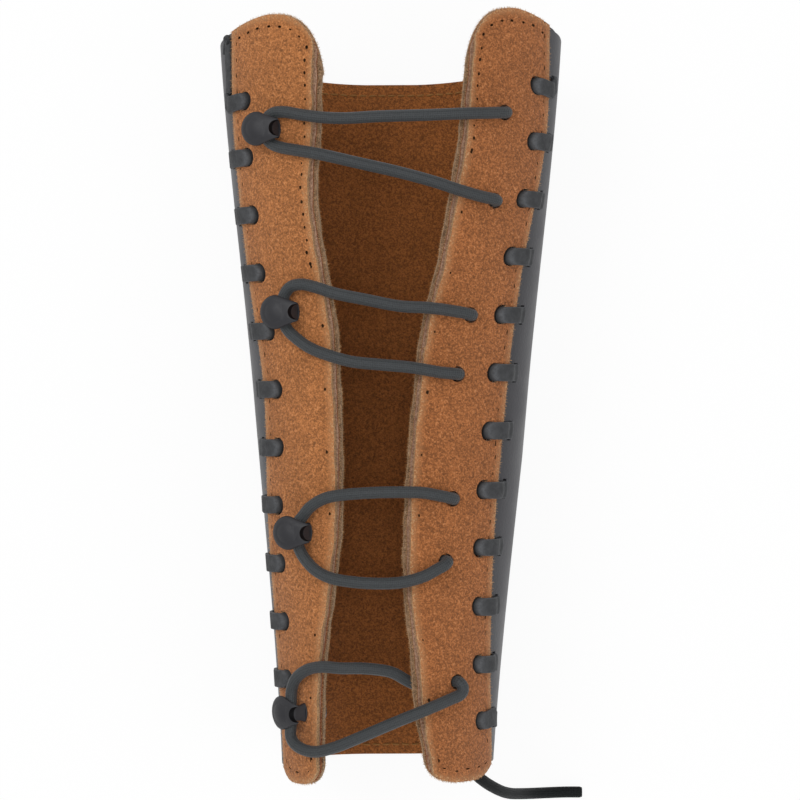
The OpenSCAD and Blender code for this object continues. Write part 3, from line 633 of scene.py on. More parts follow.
def smooth_route(points):
    """Points at the cord's even steps on a smooth curve through the given ones."""
    p = np.asarray(points, float)
    p = np.concatenate([[2 * p[0] - p[1]], p, [2 * p[-1] - p[-2]]])
    knots = run_along(p, 0.5)
    found = []
    for i in range(1, len(p) - 2):
        k, t = knots[i - 1:i + 3], np.linspace(knots[i], knots[i + 1], 24, endpoint=False)[:, None]
        a1 = (k[1] - t) / (k[1] - k[0]) * p[i - 1] + (t - k[0]) / (k[1] - k[0]) * p[i]
        a2 = (k[2] - t) / (k[2] - k[1]) * p[i] + (t - k[1]) / (k[2] - k[1]) * p[i + 1]
        a3 = (k[3] - t) / (k[3] - k[2]) * p[i + 1] + (t - k[2]) / (k[3] - k[2]) * p[i + 2]
        b1 = (k[2] - t) / (k[2] - k[0]) * a1 + (t - k[0]) / (k[2] - k[0]) * a2
        b2 = (k[3] - t) / (k[3] - k[1]) * a2 + (t - k[1]) / (k[3] - k[1]) * a3
        found.append((k[2] - t) / (k[2] - k[1]) * b1 + (t - k[1]) / (k[2] - k[1]) * b2)
    return even_steps(np.concatenate(found + [p[-2:-1]]), CORD_STEP)


def run_along(points, power=1):
    """Distance along a line at each of its points, with each step raised to a power."""
    return np.concatenate([[0], np.cumsum(np.linalg.norm(np.diff(points, axis=0), axis=1) ** power)])


def even_steps(points, step):
    """Points at even steps along the given ones, whose first three columns are places."""
    run = run_along(points[:, :3])
    at = np.linspace(0, run[-1], max(int(round(run[-1] / step)), 2) + 1)
    return np.stack([np.interp(at, run, column) for column in points.T], -1)


def route_frames(route):
    """Two directions across a route at each point, which are carried along it without twisting."""
    t = unit(np.gradient(np.asarray(route, float), axis=0))
    n = unit(np.array([0.3, 0.2, 1]) - t[0] * t[0].dot([0.3, 0.2, 1]))
    first = []
    for direction in t:
        n = unit(n - direction * n.dot(direction))
        first.append(n)
    first = np.array(first)
    return first, np.cross(t, first)


def circle(radius, sides):
    a = np.linspace(0, 2 * math.pi, sides, endpoint=False)
    return radius * np.stack([np.cos(a), np.sin(a)], -1)


def cord_tube(name, route):
    """The elastic cord along a route, with slightly rounded cut ends."""
    first, second = route_frames(route)
    run = run_along(route)
    to_end = np.minimum(run, run[-1] - run)
    scale = 1 - 0.16 * np.clip(1 - to_end / 0.5, 0, 1) ** 2
    return swept(name, route, first, second, circle(m.cord_radius, CORD_SIDES)[None] * scale[:, None, None])


def place_frame(place):
    """(origin, rows across, along and out) on the suede at a place seen from above."""
    x, y = place
    q = float(angle_at(x, y, m.suede_ply[1]))
    n = skin_normal(q, y)
    e = unit(np.cross([0, 1, 0], n))
    return over(q, y, m.suede_ply[1]), np.array([e, np.cross(n, e), n])


def into_hole(hole, beside, above):
    """The end of a strand that turns into a hole of the right wing beside the place given."""
    c = np.array(CORD_HOLES[hole], float)
    u = unit(np.array(beside[:2], float) - c)
    side = 1 if above else -1
    face = m.suede_ply[1] if above else m.lining_ply[0]
    meeting = (m.suede_ply[1] + m.lining_ply[0]) / 2
    steps = [(a * m.cord_radius, face + side * b * m.cord_radius) for a, b in ((0.95, 1.2), (0.1, 0.8))]
    steps.append((0, meeting + side * m.cord_joint_gap / 2))
    places = [(*(c + s * u), h) for s, h in steps]
    return np.array([over(angle_at(x, y, m.suede_ply[1]), y, h) for x, y, h in places])


def bight(k):
    """The turn of a loop round the neck of its hook."""
    x, y = HOOK_PLACES[k]
    q = float(angle_at(x, y, m.suede_ply[1]))
    _, (e, f, _) = place_frame(HOOK_PLACES[k])
    rx = m.neck_thickness / 2 + m.hook_clearance + m.cord_radius + BIGHT_SLACK[k]
    ry = m.neck_width / 2 + m.hook_clearance + m.cord_radius
    shift = -math.sin(math.radians(BIGHT_LEANS[k])) * (m.cord_bight - m.suede_ply[1])
    a = np.radians([146, 180, 214])[:, None]
    return over(q, y, m.cord_bight) + e * (rx * np.cos(a) + shift) + f * ry * np.sin(a)


def loop_route(k):
    first, last = LOOP_HOLES[k]
    upper, lower = UPPER_STRANDS[k], LOWER_STRANDS[k]
    parts = [over_place(upper), bight(k), over_place(lower), into_hole(last, lower[-1], True)]
    if first is not None:
        parts.insert(0, into_hole(first, upper[0], True)[::-1])
    return np.concatenate(parts)


def bridge_route(k):
    run = BRIDGES[k]
    return np.concatenate([into_hole(2 * k + 1, run[0], False)[::-1], over_place(run),
                           into_hole(2 * k + 2, run[-1], False)])


# Materials

class Value:
    """A socket of a node tree. Arithmetic on it adds Math nodes."""

    def __init__(self, owner, socket):
        self.owner, self.socket = owner, socket

    def math(self, operation, *values):
        return self.owner.node("ShaderNodeMath", {"operation": operation}, dict(enumerate(values)))

    def __add__(self, other): return self.math("ADD", self, other)
    def __radd__(self, other): return self.math("ADD", other, self)
    def __sub__(self, other): return self.math("SUBTRACT", self, other)
    def __rsub__(self, other): return self.math("SUBTRACT", other, self)
    def __mul__(self, other): return self.math("MULTIPLY", self, other)
    def __rmul__(self, other): return self.math("MULTIPLY", other, self)


class Nodes:
    """A node tree whose nodes are added one by one."""

    def __init__(self, tree):
        self.tree = tree

    def node(self, kind, settings=None, inputs=None, output=0):
        """Adds a node. Settings are its own properties, with a ramp's stops as (position, value) pairs,
        and inputs are values or links by socket number, name or identifier."""
        node = self.tree.nodes.new(kind)
        for key, value in (settings or {}).items():
            if key == "stops":
                elements = node.color_ramp.elements
                while len(elements) < len(value):
                    elements.new(1)
                for element, (position, level) in zip(elements, value):
                    element.position = position
                    element.color = (*([level] * 3 if isinstance(level, (int, float)) else level), 1)
            else:
                setattr(node, key, value)
        for key, value in (inputs or {}).items():
            self.set(self.find(node.inputs, key), value)
        return Value(self, self.find(node.outputs, output))

    @staticmethod
    def find(sockets, key):
        if isinstance(key, int):
            return sockets[key]
        for socket in sockets:
            if socket.identifier == key or (socket.name == key and socket.enabled):
                return socket
        raise KeyError(f"no socket {key} among {[s.identifier for s in sockets]}")

    def set(self, socket, value):
        if isinstance(value, Value):
            self.tree.links.new(value.socket, socket)
        elif isinstance(value, (int, float, str)):
            socket.default_value = value
        else:
            value = tuple(value)
            socket.default_value = value + (1,) if len(value) < len(socket.default_value) else value


class Pattern(Nodes):
    """A Geometry Nodes tree that puts copies of a shape at even steps along the lines of a mesh. The
    lines carry two directions at each point: up, out of the surface, and away, out over its edge."""

    def __init__(self, name, **sizes):
        super().__init__(bpy.data.node_groups.new(name, "GeometryNodeTree"))
        self.group = self.tree.nodes.new("NodeGroupInput")
        self.identifiers = {}
        self.lines = self.input("Geometry", "NodeSocketGeometry")
        self.tree.interface.new_socket("Geometry", in_out="OUTPUT", socket_type="NodeSocketGeometry")
        self.material = self.input("Material", "NodeSocketMaterial")
        self.seed = self.input("Seed", "NodeSocketInt")
        self.sizes = {key: self.input(key, "NodeSocketFloat", value) for key, value in sizes.items()}

    def input(self, name, kind, value=None):
        socket = self.tree.interface.new_socket(name, in_out="INPUT", socket_type=kind)
        if value is not None:
            socket.default_value = value
        self.identifiers[name] = socket.identifier
        return Value(self, self.find(self.group.outputs, name))

    def direction(self, name):
        return self.node("GeometryNodeInputNamedAttribute", {"data_type": "FLOAT_VECTOR"},
                         {"Name": name}, "Attribute")

    def random(self, low, high, salt):
        return self.node("FunctionNodeRandomValue", {"data_type": "FLOAT"},
                         {"Min_001": low, "Max_001": high, "Seed": self.seed + salt}, "Value_001")

    def random_vector(self, spread, salt):
        return self.node("FunctionNodeRandomValue", {"data_type": "FLOAT_VECTOR"},
                         {"Min": (-spread,) * 3, "Max": (spread,) * 3, "Seed": self.seed + salt}, "Value")

    def vector(self, operation, *values):
        return self.node("ShaderNodeVectorMath", {"operation": operation}, dict(enumerate(values)))

    def three(self, x, y, z):
        return self.node("ShaderNodeCombineXYZ", None, {"X": x, "Y": y, "Z": z})

    def aimed(self, axis, direction, rotation=None, pivot="AUTO"):
        inputs = {"Vector": direction}
        if rotation is not None:
            inputs["Rotation"] = rotation
        return self.node("FunctionNodeAlignRotationToVector", {"axis": axis, "pivot_axis": pivot}, inputs)

    def spread(self, shape, rotation, scale, astray=0.0):
        """Ends the tree: the shape at every step, turned and scaled, and up to astray off its place."""
        curve = self.node("GeometryNodeMeshToCurve", None, {"Mesh": self.lines})
        spaced = self.node("GeometryNodeCurveToPoints", {"mode": "LENGTH"},
                           {"Curve": curve, "Length": self.sizes["Pitch"]}, "Points")
        if astray:
            spaced = self.node("GeometryNodeSetPosition", None,
                               {"Geometry": spaced, "Offset": self.random_vector(astray, 9)})
        placed = self.node("GeometryNodeInstanceOnPoints", None,
                           {"Points": spaced, "Instance": shape, "Rotation": rotation, "Scale": scale})
        real = self.node("GeometryNodeRealizeInstances", None, {"Geometry": placed})
        done = self.node("GeometryNodeSetMaterial", None, {"Geometry": real, "Material": self.material})
        end = self.tree.nodes.new("NodeGroupOutput")
        self.tree.links.new(done.socket, end.inputs[0])


def needle_pattern():
    """Round or long plugs that stand in the surface, which are cut out of it as needle holes."""
    p = Pattern("needle_holes", Pitch=0.003, Length=0.0008, Width=0.0006, Depth=0.002)
    plug = p.node("GeometryNodeMeshCylinder", None, {"Vertices": 8, "Radius": 0.5, "Depth": 1.0}, "Mesh")
    rotation = p.aimed("X", p.direction("along"), p.aimed("Z", p.direction("up")), "Z")
    grown = p.random(0.7, 1.25, 1)
    p.spread(plug, rotation, p.three(p.sizes["Length"] * grown, p.sizes["Width"] * grown, p.sizes["Depth"]),
             0.00035)
    return p


def thread_pattern():
    """Stitches of thread that rise out of the surface and go back into it."""
    p = Pattern("thread_stitches", Pitch=0.003, Length=0.003, Thickness=0.0006)
    half, rise, sunk = p.sizes["Length"] * 0.5, p.sizes["Thickness"] * 1.1, p.sizes["Thickness"] * -0.7
    line = p.node("GeometryNodeCurveQuadraticBezier", None,
                  {"Resolution": 7, "Start": p.three(half * -1, 0.0, sunk),
                   "Middle": p.three(0.0, 0.0, rise), "End": p.three(half, 0.0, sunk)})
    ring = p.node("GeometryNodeCurvePrimitiveCircle", None,
                  {"Resolution": 6, "Radius": p.sizes["Thickness"] * 0.5})
    stitch = p.node("GeometryNodeCurveToMesh", None,
                    {"Curve": line, "Profile Curve": ring, "Fill Caps": True})
    rotation = p.aimed("X", p.vector("ADD", p.direction("along"), p.random_vector(0.12, 2)),
                       p.aimed("Z", p.direction("up")), "Z")
    p.spread(stitch, rotation, p.three(1.0, p.random(0.9, 1.1, 1), p.random(0.9, 1.1, 3)))
    return p


def fibre_pattern():
    """Loose fibres that stand out over a raw edge."""
    p = Pattern("loose_fibres", Pitch=0.0003, Length=0.001, Thickness=0.00012, Spread=0.9)
    spike = p.node("GeometryNodeMeshCone", None,
                   {"Vertices": 3, "Radius Top": 0.15, "Radius Bottom": 0.5, "Depth": 1.0}, "Mesh")
    astray = p.node("ShaderNodeVectorMath", {"operation": "SCALE"},
                    {"Vector": p.random_vector(1.0, 5), "Scale": p.sizes["Spread"]})
    rotation = p.aimed("Z", p.vector("ADD", p.direction("away"), astray))
    size = p.random(0.25, 1.0, 6)
    width = p.sizes["Thickness"] * p.random(0.7, 1.3, 7)
    p.spread(spike, rotation, p.three(width, width, p.sizes["Length"] * size))
    return p


def repeated(name, pattern, lines, material, seed, **sizes):
    """An object of the pattern's copies along lines. Each line is (places, up, away), in millimetres,
    and the sizes are in metres or plain numbers."""
    edges, start = [], 0
    for places, _, _ in lines:
        edges += [(start + i, start + i + 1) for i in range(len(places) - 1)]
        start += len(places)
    mesh = bpy.data.meshes.new(name)
    mesh.from_pydata((np.concatenate([line[0] for line in lines]) * MM).tolist(), edges, [])
    made = bpy.data.objects.new(name, mesh)
    bpy.context.scene.collection.objects.link(made)
    add_attribute(made, "up", np.concatenate([line[1] for line in lines]))
    add_attribute(made, "away", np.concatenate([line[2] for line in lines]))
    add_attribute(made, "along", np.concatenate([unit(np.gradient(line[0], axis=0)) for line in lines]))
    repeat = made.modifiers.new("repeat", "NODES")
    repeat.node_group = pattern.tree
    for key, value in {"Material": material, "Seed": seed, **sizes}.items():
        repeat[pattern.identifiers[key]] = value
    return finish_mesh(made)


class Shader(Nodes):
    """A material whose nodes are added one by one."""

    def __init__(self, name, **constants):
        self.material = bpy.data.materials.new(name)
        self.material.use_nodes = True
        super().__init__(self.material.node_tree)
        self.principled = self.tree.nodes["Principled BSDF"]
        for key, value in constants.items():
            self.principled.inputs[key.replace("_", " ")].default_value = value

    def place(self, stretch=None, turn=None):
        """Object coordinates in millimetres, stretched and turned if asked."""
        found = self.node("ShaderNodeTexCoord", output="Object")
        scale = [s / MM for s in (stretch or (1, 1, 1))]
        return self.node("ShaderNodeMapping", {"vector_type": "POINT"},
                         {"Vector": found, "Scale": scale, "Rotation": turn or (0, 0, 0)})

    def noise(self, place, width, detail=3, roughness=0.55, distortion=0):
        """Noise from 0 to 1 whose patches are about width across."""
        return self.node("ShaderNodeTexNoise", None,
                         {"Vector": place, "Scale": 1 / width, "Detail": detail, "Roughness": roughness,
                          "Distortion": distortion}, "Fac")

    def cells(self, place, width):
        return self.node("ShaderNodeTexVoronoi", {"feature": "SMOOTH_F1"},
                         {"Vector": place, "Scale": 1 / width}, "Distance")

    def attribute(self, name):
        return self.node("ShaderNodeAttribute", {"attribute_name": name}, output="Fac")

    def ramp(self, factor, *stops):
        return self.node("ShaderNodeValToRGB", {"stops": stops}, {"Fac": factor})

    def between(self, value, low, high, to_low=0, to_high=1):
        """The value's share of the way from low to high, kept from 0 to 1 and spread over a new range."""
        return self.node("ShaderNodeMapRange", {"interpolation_type": "SMOOTHSTEP"},
                         {"Value": value, "From Min": low, "From Max": high, "To Min": to_low,
                          "To Max": to_high}, "Result")

    def blend(self, factor, a, b):
        return self.node("ShaderNodeMix", {"data_type": "RGBA", "clamp_factor": True},
                         {"Factor_Float": factor, "A_Color": a, "B_Color": b}, "Result_Color")

    def bump(self, *layers):
        """Layers of (height in millimetres, strength) as one normal."""
        normal = None
        for height, strength in layers:
            inputs = {"Height": height, "Distance": MM, "Strength": strength}
            if normal is not None:
                inputs["Normal"] = normal
            normal = self.node("ShaderNodeBump", None, inputs)
        return normal

    def surface(self, **values):
        for key, value in values.items():
            self.set(self.find(self.principled.inputs, key.replace("_", " ")), value)
        return self.material


def shade(rgb, factor):
    return tuple(min(c * factor, 1) for c in rgb)


def suede(name, tone, raw, seed=0, banded=True, pits=1):
    """Suede with a flecked nap, fibrous where it is cut, and paler towards its edges if banded."""
    s = Shader(name, Sheen_Weight=0.12, Sheen_Roughness=0.6, Specular_IOR_Level=0.12)
    place = s.place(turn=(seed, 0.3, 0.2))
    fine = s.noise(place, 0.5, 2, 0.7)
    grain = s.noise(place, 0.95, 4, 0.7, 0.3)
    patch = s.noise(place, 9, 4, 0.62, 0.5)
    level = grain * 0.5 + fine * 0.5
    look = s.ramp(level, (0.35, shade(tone, 0.42)), (0.44, shade(tone, 0.72)), (0.5, shade(tone, 1.0)),
                  (0.56, shade(tone, 1.5)), (0.65, mixed(shade(tone, 1.9), raw, 0.4)))
    look = s.blend(s.between(patch, 0.3, 0.7, 0.25, 0), look, shade(tone, 0.62))
    look = s.blend(s.between(patch, 0.5, 0.8, 0, 0.3), look, shade(tone, 1.4))
    if banded:
        rim = s.attribute("rim") + (grain - 0.5) * 3.5
        look = s.blend(s.between(rim, 0.8, 3.0, 0.45, 0), look, mixed(shade(tone, 1.1), raw, 0.35))
        fleck = s.between(s.noise(place, 0.6, 3, 0.7), 0.5, 0.6)
        look = s.blend(s.between(rim, 0.3, 1.6, 0.75, 0) * fleck, look, raw)
    fibre = s.noise(place, 0.45, 4, 0.75)
    edge = s.blend(s.between(fibre, 0.4, 0.6), shade(raw, 0.32), shade(raw, 1.1))
    return s.surface(
        Base_Color=s.blend(s.attribute("cut"), look, edge),
        Roughness=s.between(grain, 0.2, 0.8, 1.0, 0.86),
        Normal=s.bump((fine, 0.3 * pits), (grain, 0.45 * pits)))


def mixed(a, b, t):
    return tuple(mix(x, y, t) for x, y in zip(a, b))


def ply_suede(name, tone, raw):
    """The wings' lining, of which little more than the cut edge is seen."""
    s = Shader(name, Sheen_Weight=0.12, Sheen_Roughness=0.6, Specular_IOR_Level=0.12)
    place = s.place()
    fine = s.noise(place, 0.4, 3, 0.7)
    grain = s.noise(place, 1.3, 4, 0.7, 0.4)
    look = s.ramp(fine * 0.5 + grain * 0.5, (0.38, shade(tone, 0.3)), (0.46, shade(tone, 0.7)),
                  (0.54, shade(tone, 1.1)), (0.64, shade(raw, 1.15)))
    edge = s.blend(s.between(fine, 0.4, 0.6), shade(raw, 0.4), shade(raw, 1.15))
    return s.surface(
        Base_Color=s.blend(s.attribute("cut"), look, edge),
        Roughness=s.between(grain, 0.2, 0.8, 1.0, 0.86), Normal=s.bump((fine, 0.35), (grain, 0.4)))


def smooth_leather(name, tone):
    """Black leather with a faint grain and paler wear."""
    s = Shader(name, Specular_IOR_Level=0.5)
    place = s.place()
    grain = s.cells(place, 0.8)
    crease = s.noise(place, 2.2, 4, 0.6)
    wear = s.noise(place, 16, 4, 0.6)
    look = s.blend(s.between(wear, 0.35, 0.75, 0, 0.6), shade(tone, 0.92), shade(tone, 1.3))
    look = s.blend(s.between(crease, 0.55, 0.8, 0, 0.25), look, shade(tone, 1.6))
    return s.surface(
        Base_Color=s.blend(s.attribute("cut"), look, shade(tone, 0.7)),
        Roughness=s.between(wear, 0.3, 0.7, 0.4, 0.5),
        Normal=s.bump((grain, 0.06), (crease, 0.06)))


def stiffener(name, tone):
    """Fibrous board whose cut edge is a thin dark reddish line."""
    s = Shader(name, Specular_IOR_Level=0.15)
    fibre = s.noise(s.place((1, 0.45, 1)), 0.35, 4, 0.72)
    fleck = s.noise(s.place(), 0.8, 4, 0.72)
    red = (tone[0] * 0.62, tone[1] * 0.28, tone[2] * 0.18)
    look = s.ramp(fibre * 0.5 + fleck * 0.5, (0.38, mixed(tone, red, 0.85)), (0.46, shade(tone, 0.6)),
                  (0.54, tone), (0.64, shade(tone, 1.4)))
    edge = s.blend(s.between(fibre, 0.35, 0.65), shade(red, 0.6), shade(red, 1.3))
    return s.surface(Base_Color=s.blend(s.attribute("cut"), look, edge),
                     Roughness=s.between(fibre, 0, 1, 0.88, 1.0), Normal=s.bump((fibre, 0.4), (fleck, 0.3)))


def thong_leather(name, tone):
    """Black leather strip, paler where it is bent or rubbed, and paler along its edges as a painted
    highlight.
    """
    s = Shader(name, Specular_IOR_Level=0.4)
    place = s.place()
    grain = s.cells(place, 0.6)
    wear = s.noise(place, 2.5, 4, 0.62)
    look = s.blend(s.between(wear, 0.35, 0.7), shade(tone, 0.82), shade(tone, 1.22))
    # The worn attribute holds rub at the bends and a painted highlight along both edges of the thong.
    rub_and_edge_highlight = s.attribute("worn") * s.between(s.noise(place, 0.6, 3, 0.65), 0.3, 0.6, 0.3, 1)
    look = s.blend(rub_and_edge_highlight, look, shade(tone, 5.0))
    return s.surface(Base_Color=look, Roughness=s.between(wear, 0.2, 0.8, 0.74, 0.58),
                     Normal=s.bump((grain, 0.12), (wear, 0.2)))


def braided(name, tone, pitch, gloss=0.4):
    """The woven cover of an elastic cord: two families of strands that cross round it, with painted shade
    between the strands and painted highlight on them.
    """
    s = Shader(name, Specular_IOR_Level=gloss, Sheen_Weight=gloss / 4, Sheen_Roughness=0.5)
    uv = s.node("ShaderNodeUVMap", {"uv_map": "UVMap"})
    x = s.node("ShaderNodeSeparateXYZ", None, {"Vector": uv}, "X")
    y = s.node("ShaderNodeSeparateXYZ", None, {"Vector": uv}, "Y")
    turn = 2 * math.pi
    one = x * (8 * turn) + y * (turn / pitch)
    other = x * (8 * turn) - y * (turn / pitch)
    strands = one.math("SINE", one).math("MULTIPLY", one.math("SINE", one), other.math("SINE", other))
    height = s.between(strands, -1, 1)
    fuzz = s.noise(s.place(), 0.3, 3)
    # Painted shade and highlight: the weave is darker where the strands sink and paler where they rise.
    weave_painted_shade = s.blend(height, shade(tone, 0.45), shade(tone, 1.35))
    weave_painted_shade = s.blend(s.between(fuzz, 0.4, 0.65, 0, 0.5), weave_painted_shade, shade(tone, 2.2))
    return s.surface(Base_Color=weave_painted_shade, Roughness=s.between(fuzz, 0, 1, 0.5, 0.68),
                     Normal=s.bump((height, 0.25), (fuzz, 0.15)))


def enamel(name, tone, gloss=0.45):
    """Matt black paint baked on metal, with a little orange peel."""
    s = Shader(name, Specular_IOR_Level=gloss)
    place = s.place()
    peel = s.noise(place, 1.1, 3)
    worn = s.noise(place, 0.7, 4, 0.7)
    look = s.blend(s.between(worn, 0.45, 0.8, 0, 0.3), tone, shade(tone, 1.6))
    return s.surface(Base_Color=look, Roughness=s.between(worn, 0.3, 0.7, 0.5, 0.62),
                     Normal=s.bump((peel, 0.06)))


def plain(name, dark, light, noise, roughness, span=(0, 1), gloss=0.5, contrast=None, bump=0,
          metallic=None):
    """A material whose tone and roughness follow one noise, given as (width, detail, roughness)."""
    s = Shader(name, Specular_IOR_Level=gloss)
    speck = s.noise(s.place(), *noise)
    if bump:
        s.surface(Normal=s.bump((speck, bump)))
    if metallic:
        s.surface(Metallic=s.between(speck, *metallic))
    look = s.blend(s.between(speck, *contrast) if contrast else speck, dark, light)
    return s.surface(Base_Color=look, Roughness=s.between(speck, *span, *roughness))


def floor_white(name):
    """White that the camera and reflections see as white, and that still takes a shadow."""
    s = Shader(name, Base_Color=(0.85, 0.85, 0.85, 1), Roughness=0.95, Specular_IOR_Level=0)
    camera, glossy, through = (s.node("ShaderNodeLightPath", output=f"Is {kind} Ray")
                               for kind in ("Camera", "Glossy", "Transmission"))
    seen = camera.math("MAXIMUM", camera.math("MAXIMUM", camera, glossy), through)
    glow = s.node("ShaderNodeEmission", None, {"Strength": 1.0})
    lit = Value(s, s.principled.outputs[0])
    both = s.node("ShaderNodeMixShader", None, {0: seen * 0.92, 1: lit, 2: glow})
    s.set(s.tree.nodes["Material Output"].inputs["Surface"], both)
    return s.material


def dress(made, material):
    made.data.materials.clear()
    made.data.materials.append(material)
    return made


# Operators

class GuardOperator:
    """What every operator of the guard shares."""
    bl_options = {"REGISTER", "UNDO"}

    def execute(self, context):
        m.read(context.scene)
        self.make(context.scene.guard_finish)
        return {"FINISHED"}


class GUARD_OT_stage(GuardOperator, bpy.types.Operator):
    """Sets up the camera, the lamps, the world and the white floor"""
    bl_idname = "guard.stage"
    bl_label = "Stage"

    def make(self, finish):
        scene = bpy.context.scene
        camera = bpy.data.objects.new("camera", bpy.data.cameras.new("camera"))
        camera.location = CAMERA_PLACE
        camera.data.angle = math.radians(CAMERA_ANGLE)
        camera.data.clip_start = 0.01
        scene.collection.objects.link(camera)
        scene.camera = camera
        scene.view_settings.view_transform = "Standard"
        for name, place, energy, width in LAMPS:
            lamp = bpy.data.lights.new(name, "AREA")
            lamp.shape, lamp.size, lamp.energy = "DISK", width, energy
            made = bpy.data.objects.new(name, lamp)
            made.location = place
            made.rotation_euler = (Vector(LIT_PLACE) - Vector(place)).to_track_quat("-Z", "Y").to_euler()
            scene.collection.objects.link(made)
        world = bpy.data.worlds.new("studio")
        world.use_nodes = True
        background = world.node_tree.nodes["Background"]
        background.inputs["Color"].default_value = (1, 1, 1, 1)
        background.inputs["Strength"].default_value = WORLD_STRENGTH
        scene.world = world
        corners = np.array([(-1, -1, 0), (1, -1, 0), (1, 1, 0), (-1, 1, 0)]) * FLOOR_REACH / MM
        floor = new_object("floor", corners, [(0, 1, 2, 3)])
        dress(floor, floor_white("floor_white"))


class GUARD_OT_tail(GuardOperator, bpy.types.Operator):
    """Makes the free end of the elastic cord, which hangs from the wrist end to the floor"""
    bl_idname = "guard.tail"
    bl_label = "Elastic tail"

    def make(self, finish):
        route = smooth_route(TAIL)
        tail = cord_tube("elastic_tail_end", route)
        # Painted shade: the tail gets a copy of the elastic at a third of its tone, and little gloss, to
        # look as dark as the shade it hangs in.
        dress(tail, braided("elastic_tail_weave", shade(finish.elastic, 0.3), m.braid_pitch, 0.1))
        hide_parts("elastic_tail")
        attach(tail, "back")


def back_grid(columns, rows, h):
    """Places on the back. Columns are (distance from the wing's edge, share of the way round to the flat,
    side, share of the way across), and rows the places along at the left and the right seam."""
    d, t, side, across = columns.T
    y = mix(rows[0][:, None], rows[1][:, None], across[None])
    bowed = np.sin(np.radians(180 * across)) ** END_CURVE
    outer = np.clip(-d / (m.slot_offset + m.slot_width / 2), 0, 1) ** 2
    drop = (bowed * (m.elbow_dip * near_end(y, m.elbow_blend) + m.wrist_bow * near_end(-y, m.wrist_blend))
            + m.elbow_round * outer * near_end(y, m.skew_blend))
    q = np.where(side < 0, lap_angle(-1, y, d), lap_angle(1, y, d))
    return over(mix(q, 180, t) * side, y - drop, h)


def back_columns(first, near, far):
    """Columns round the back, from the left wing's edge or slots round the flat strip to the right
    wing's, and how many of them come before the slots are passed."""
    lead = []
    if first is not None:
        lead = [(d, 0, 0) for d in (*np.linspace(first, near, 10)[:-1], *np.linspace(near, far, 3)[:-1])]
    half = lead + [(far, t, t * 9 / 19) for t in np.linspace(0, 1, 46)]
    left = [(d, t, -1, a) for d, t, a in half]
    right = [(d, t, 1, 1 - a) for d, t, a in reversed(half)]
    return np.array(left + right), len(lead)


class GUARD_OT_back(GuardOperator, bpy.types.Operator):
    """Makes the smooth leather of the back and its suede lining"""
    bl_idname = "guard.back"
    bl_label = "Back"

    def make(self, finish):
        near = -m.slot_offset + m.slot_width / 2
        far = -m.slot_offset - m.slot_width / 2
        ends = [(m.wrist_heel + wrist_short(side) - m.guard_length / 2,
                 m.guard_length / 2 - m.elbow_heel - elbow_short(side)) for side in (-1, 1)]
        columns, lead = back_columns(m.wing_lap, near, far)
        rows = [seam_rows(side, *end, BACK_STEPS) for side, end in zip((-1, 1), ends)]
        places = [r[0] for r in rows]
        face, under = (back_grid(columns, places, h) for h in m.back_ply)
        open_cells = np.zeros((len(places[0]) - 1, len(columns) - 1), bool)
        for (_, slot), first in zip(rows, (lead - 2, len(columns) - 1 - lead)):
            inside = ~np.isnan(slot)
            open_cells[inside[:-1] & inside[1:], first:first + 2] = True
        leather = sheet("back_shell", face, under, open_cells, rim_distance(under))
        bevel(leather, 0.35)
        dress(leather, smooth_leather("back_leather_grain", finish.leather))
        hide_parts("back_leather")
        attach(leather, "back")

        columns, _ = back_columns(None, 0, far - m.lining_side_gap)
        rows = [seam_rows(side, low + m.lining_inset, high - m.lining_inset, BACK_STEPS)[0]
                for side, (low, high) in zip((-1, 1), ends)]
        face, under = (back_grid(columns, rows, h) for h in m.back_lining_ply)
        none = np.zeros((len(rows[0]) - 1, len(columns) - 1), bool)
        lining = sheet("back_lining_suede", face, under, none, rim_distance(face))
        finish_mesh(bevel(lining, 0.3))
        dress(lining, suede("lining_nap", finish.lining, shade(finish.lining, 1.6), banded=False, pits=1.2))
        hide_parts("back_lining")
        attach(lining, "back")


def wing_grid(side, first, trim):
    """(angles, places along, open cells) of a fine grid over one ply of a wing, from seam to free edge.
    The holes are rounded away from the seam, and the free edge wavers a little."""
    rows, slot = seam_rows(side, -m.guard_length / 2, m.guard_length / 2, WING_STEPS)
    near, far = m.hole_inset - m.slot_width / 2, m.hole_inset + m.slot_width / 2
    inside = ~np.isnan(slot)
    fall = np.where(inside, crescent(np.nan_to_num(slot) * 0.98) * m.slot_length / 2, 0)
    near_rows = np.maximum(near - 0.7 * fall, first + 0.3)
    far_rows = np.where(inside, far + 0.75 - 0.85 * fall, far)
    steps = 4 if first > 0 else 10
    lead = np.linspace(0, 1, steps)[None, :-1] * (near_rows - first)[:, None] + first
    middle = mix(near_rows[:, None], far_rows[:, None], np.linspace(0, 1, 4)[None, :-1])
    t = np.linspace(0, 1, 52)
    t = mix(t, 1 - (1 - t) ** 2, 0.45)
    d = np.concatenate([lead, middle, np.repeat(far_rows[:, None], len(t), 1)], 1)
    t = np.concatenate([np.zeros(lead.shape[1] + middle.shape[1]), t])
    phase = side + 3 * trim
    waves = np.sin(rows / 3.1 + phase) + np.sin(rows / 1.7 + 2 * phase) + np.sin(rows / 7.9)
    waver = EDGE_WAVER * waves / 3
    drawn_back = along(EDGE_SHIFT[side], rows) + trim * along(EDGE_SPREAD[side], rows) + waver
    q, y = wing_place(side, rows[:, None], d, t[None], drawn_back[:, None])
    open_cells = np.zeros((len(rows) - 1, d.shape[1] - 1), bool)
    open_cells[inside[:-1] & inside[1:], steps - 1:steps + 2] = True
    return q, y, open_cells


def seam_line(side, h, d):
    """A line at the height h a distance d inside the laced edge of a wing, as (places, up, away)."""
    y = np.linspace(-m.guard_length / 2, m.guard_length / 2, 500)
    q, place = wing_place(side, y, d, 0, 0)
    inner, _ = wing_place(side, y, d + 1, 0, 0)
    places = over(q, place, h)
    return places, skin_normal(q, place), unit(places - over(inner, place, h))


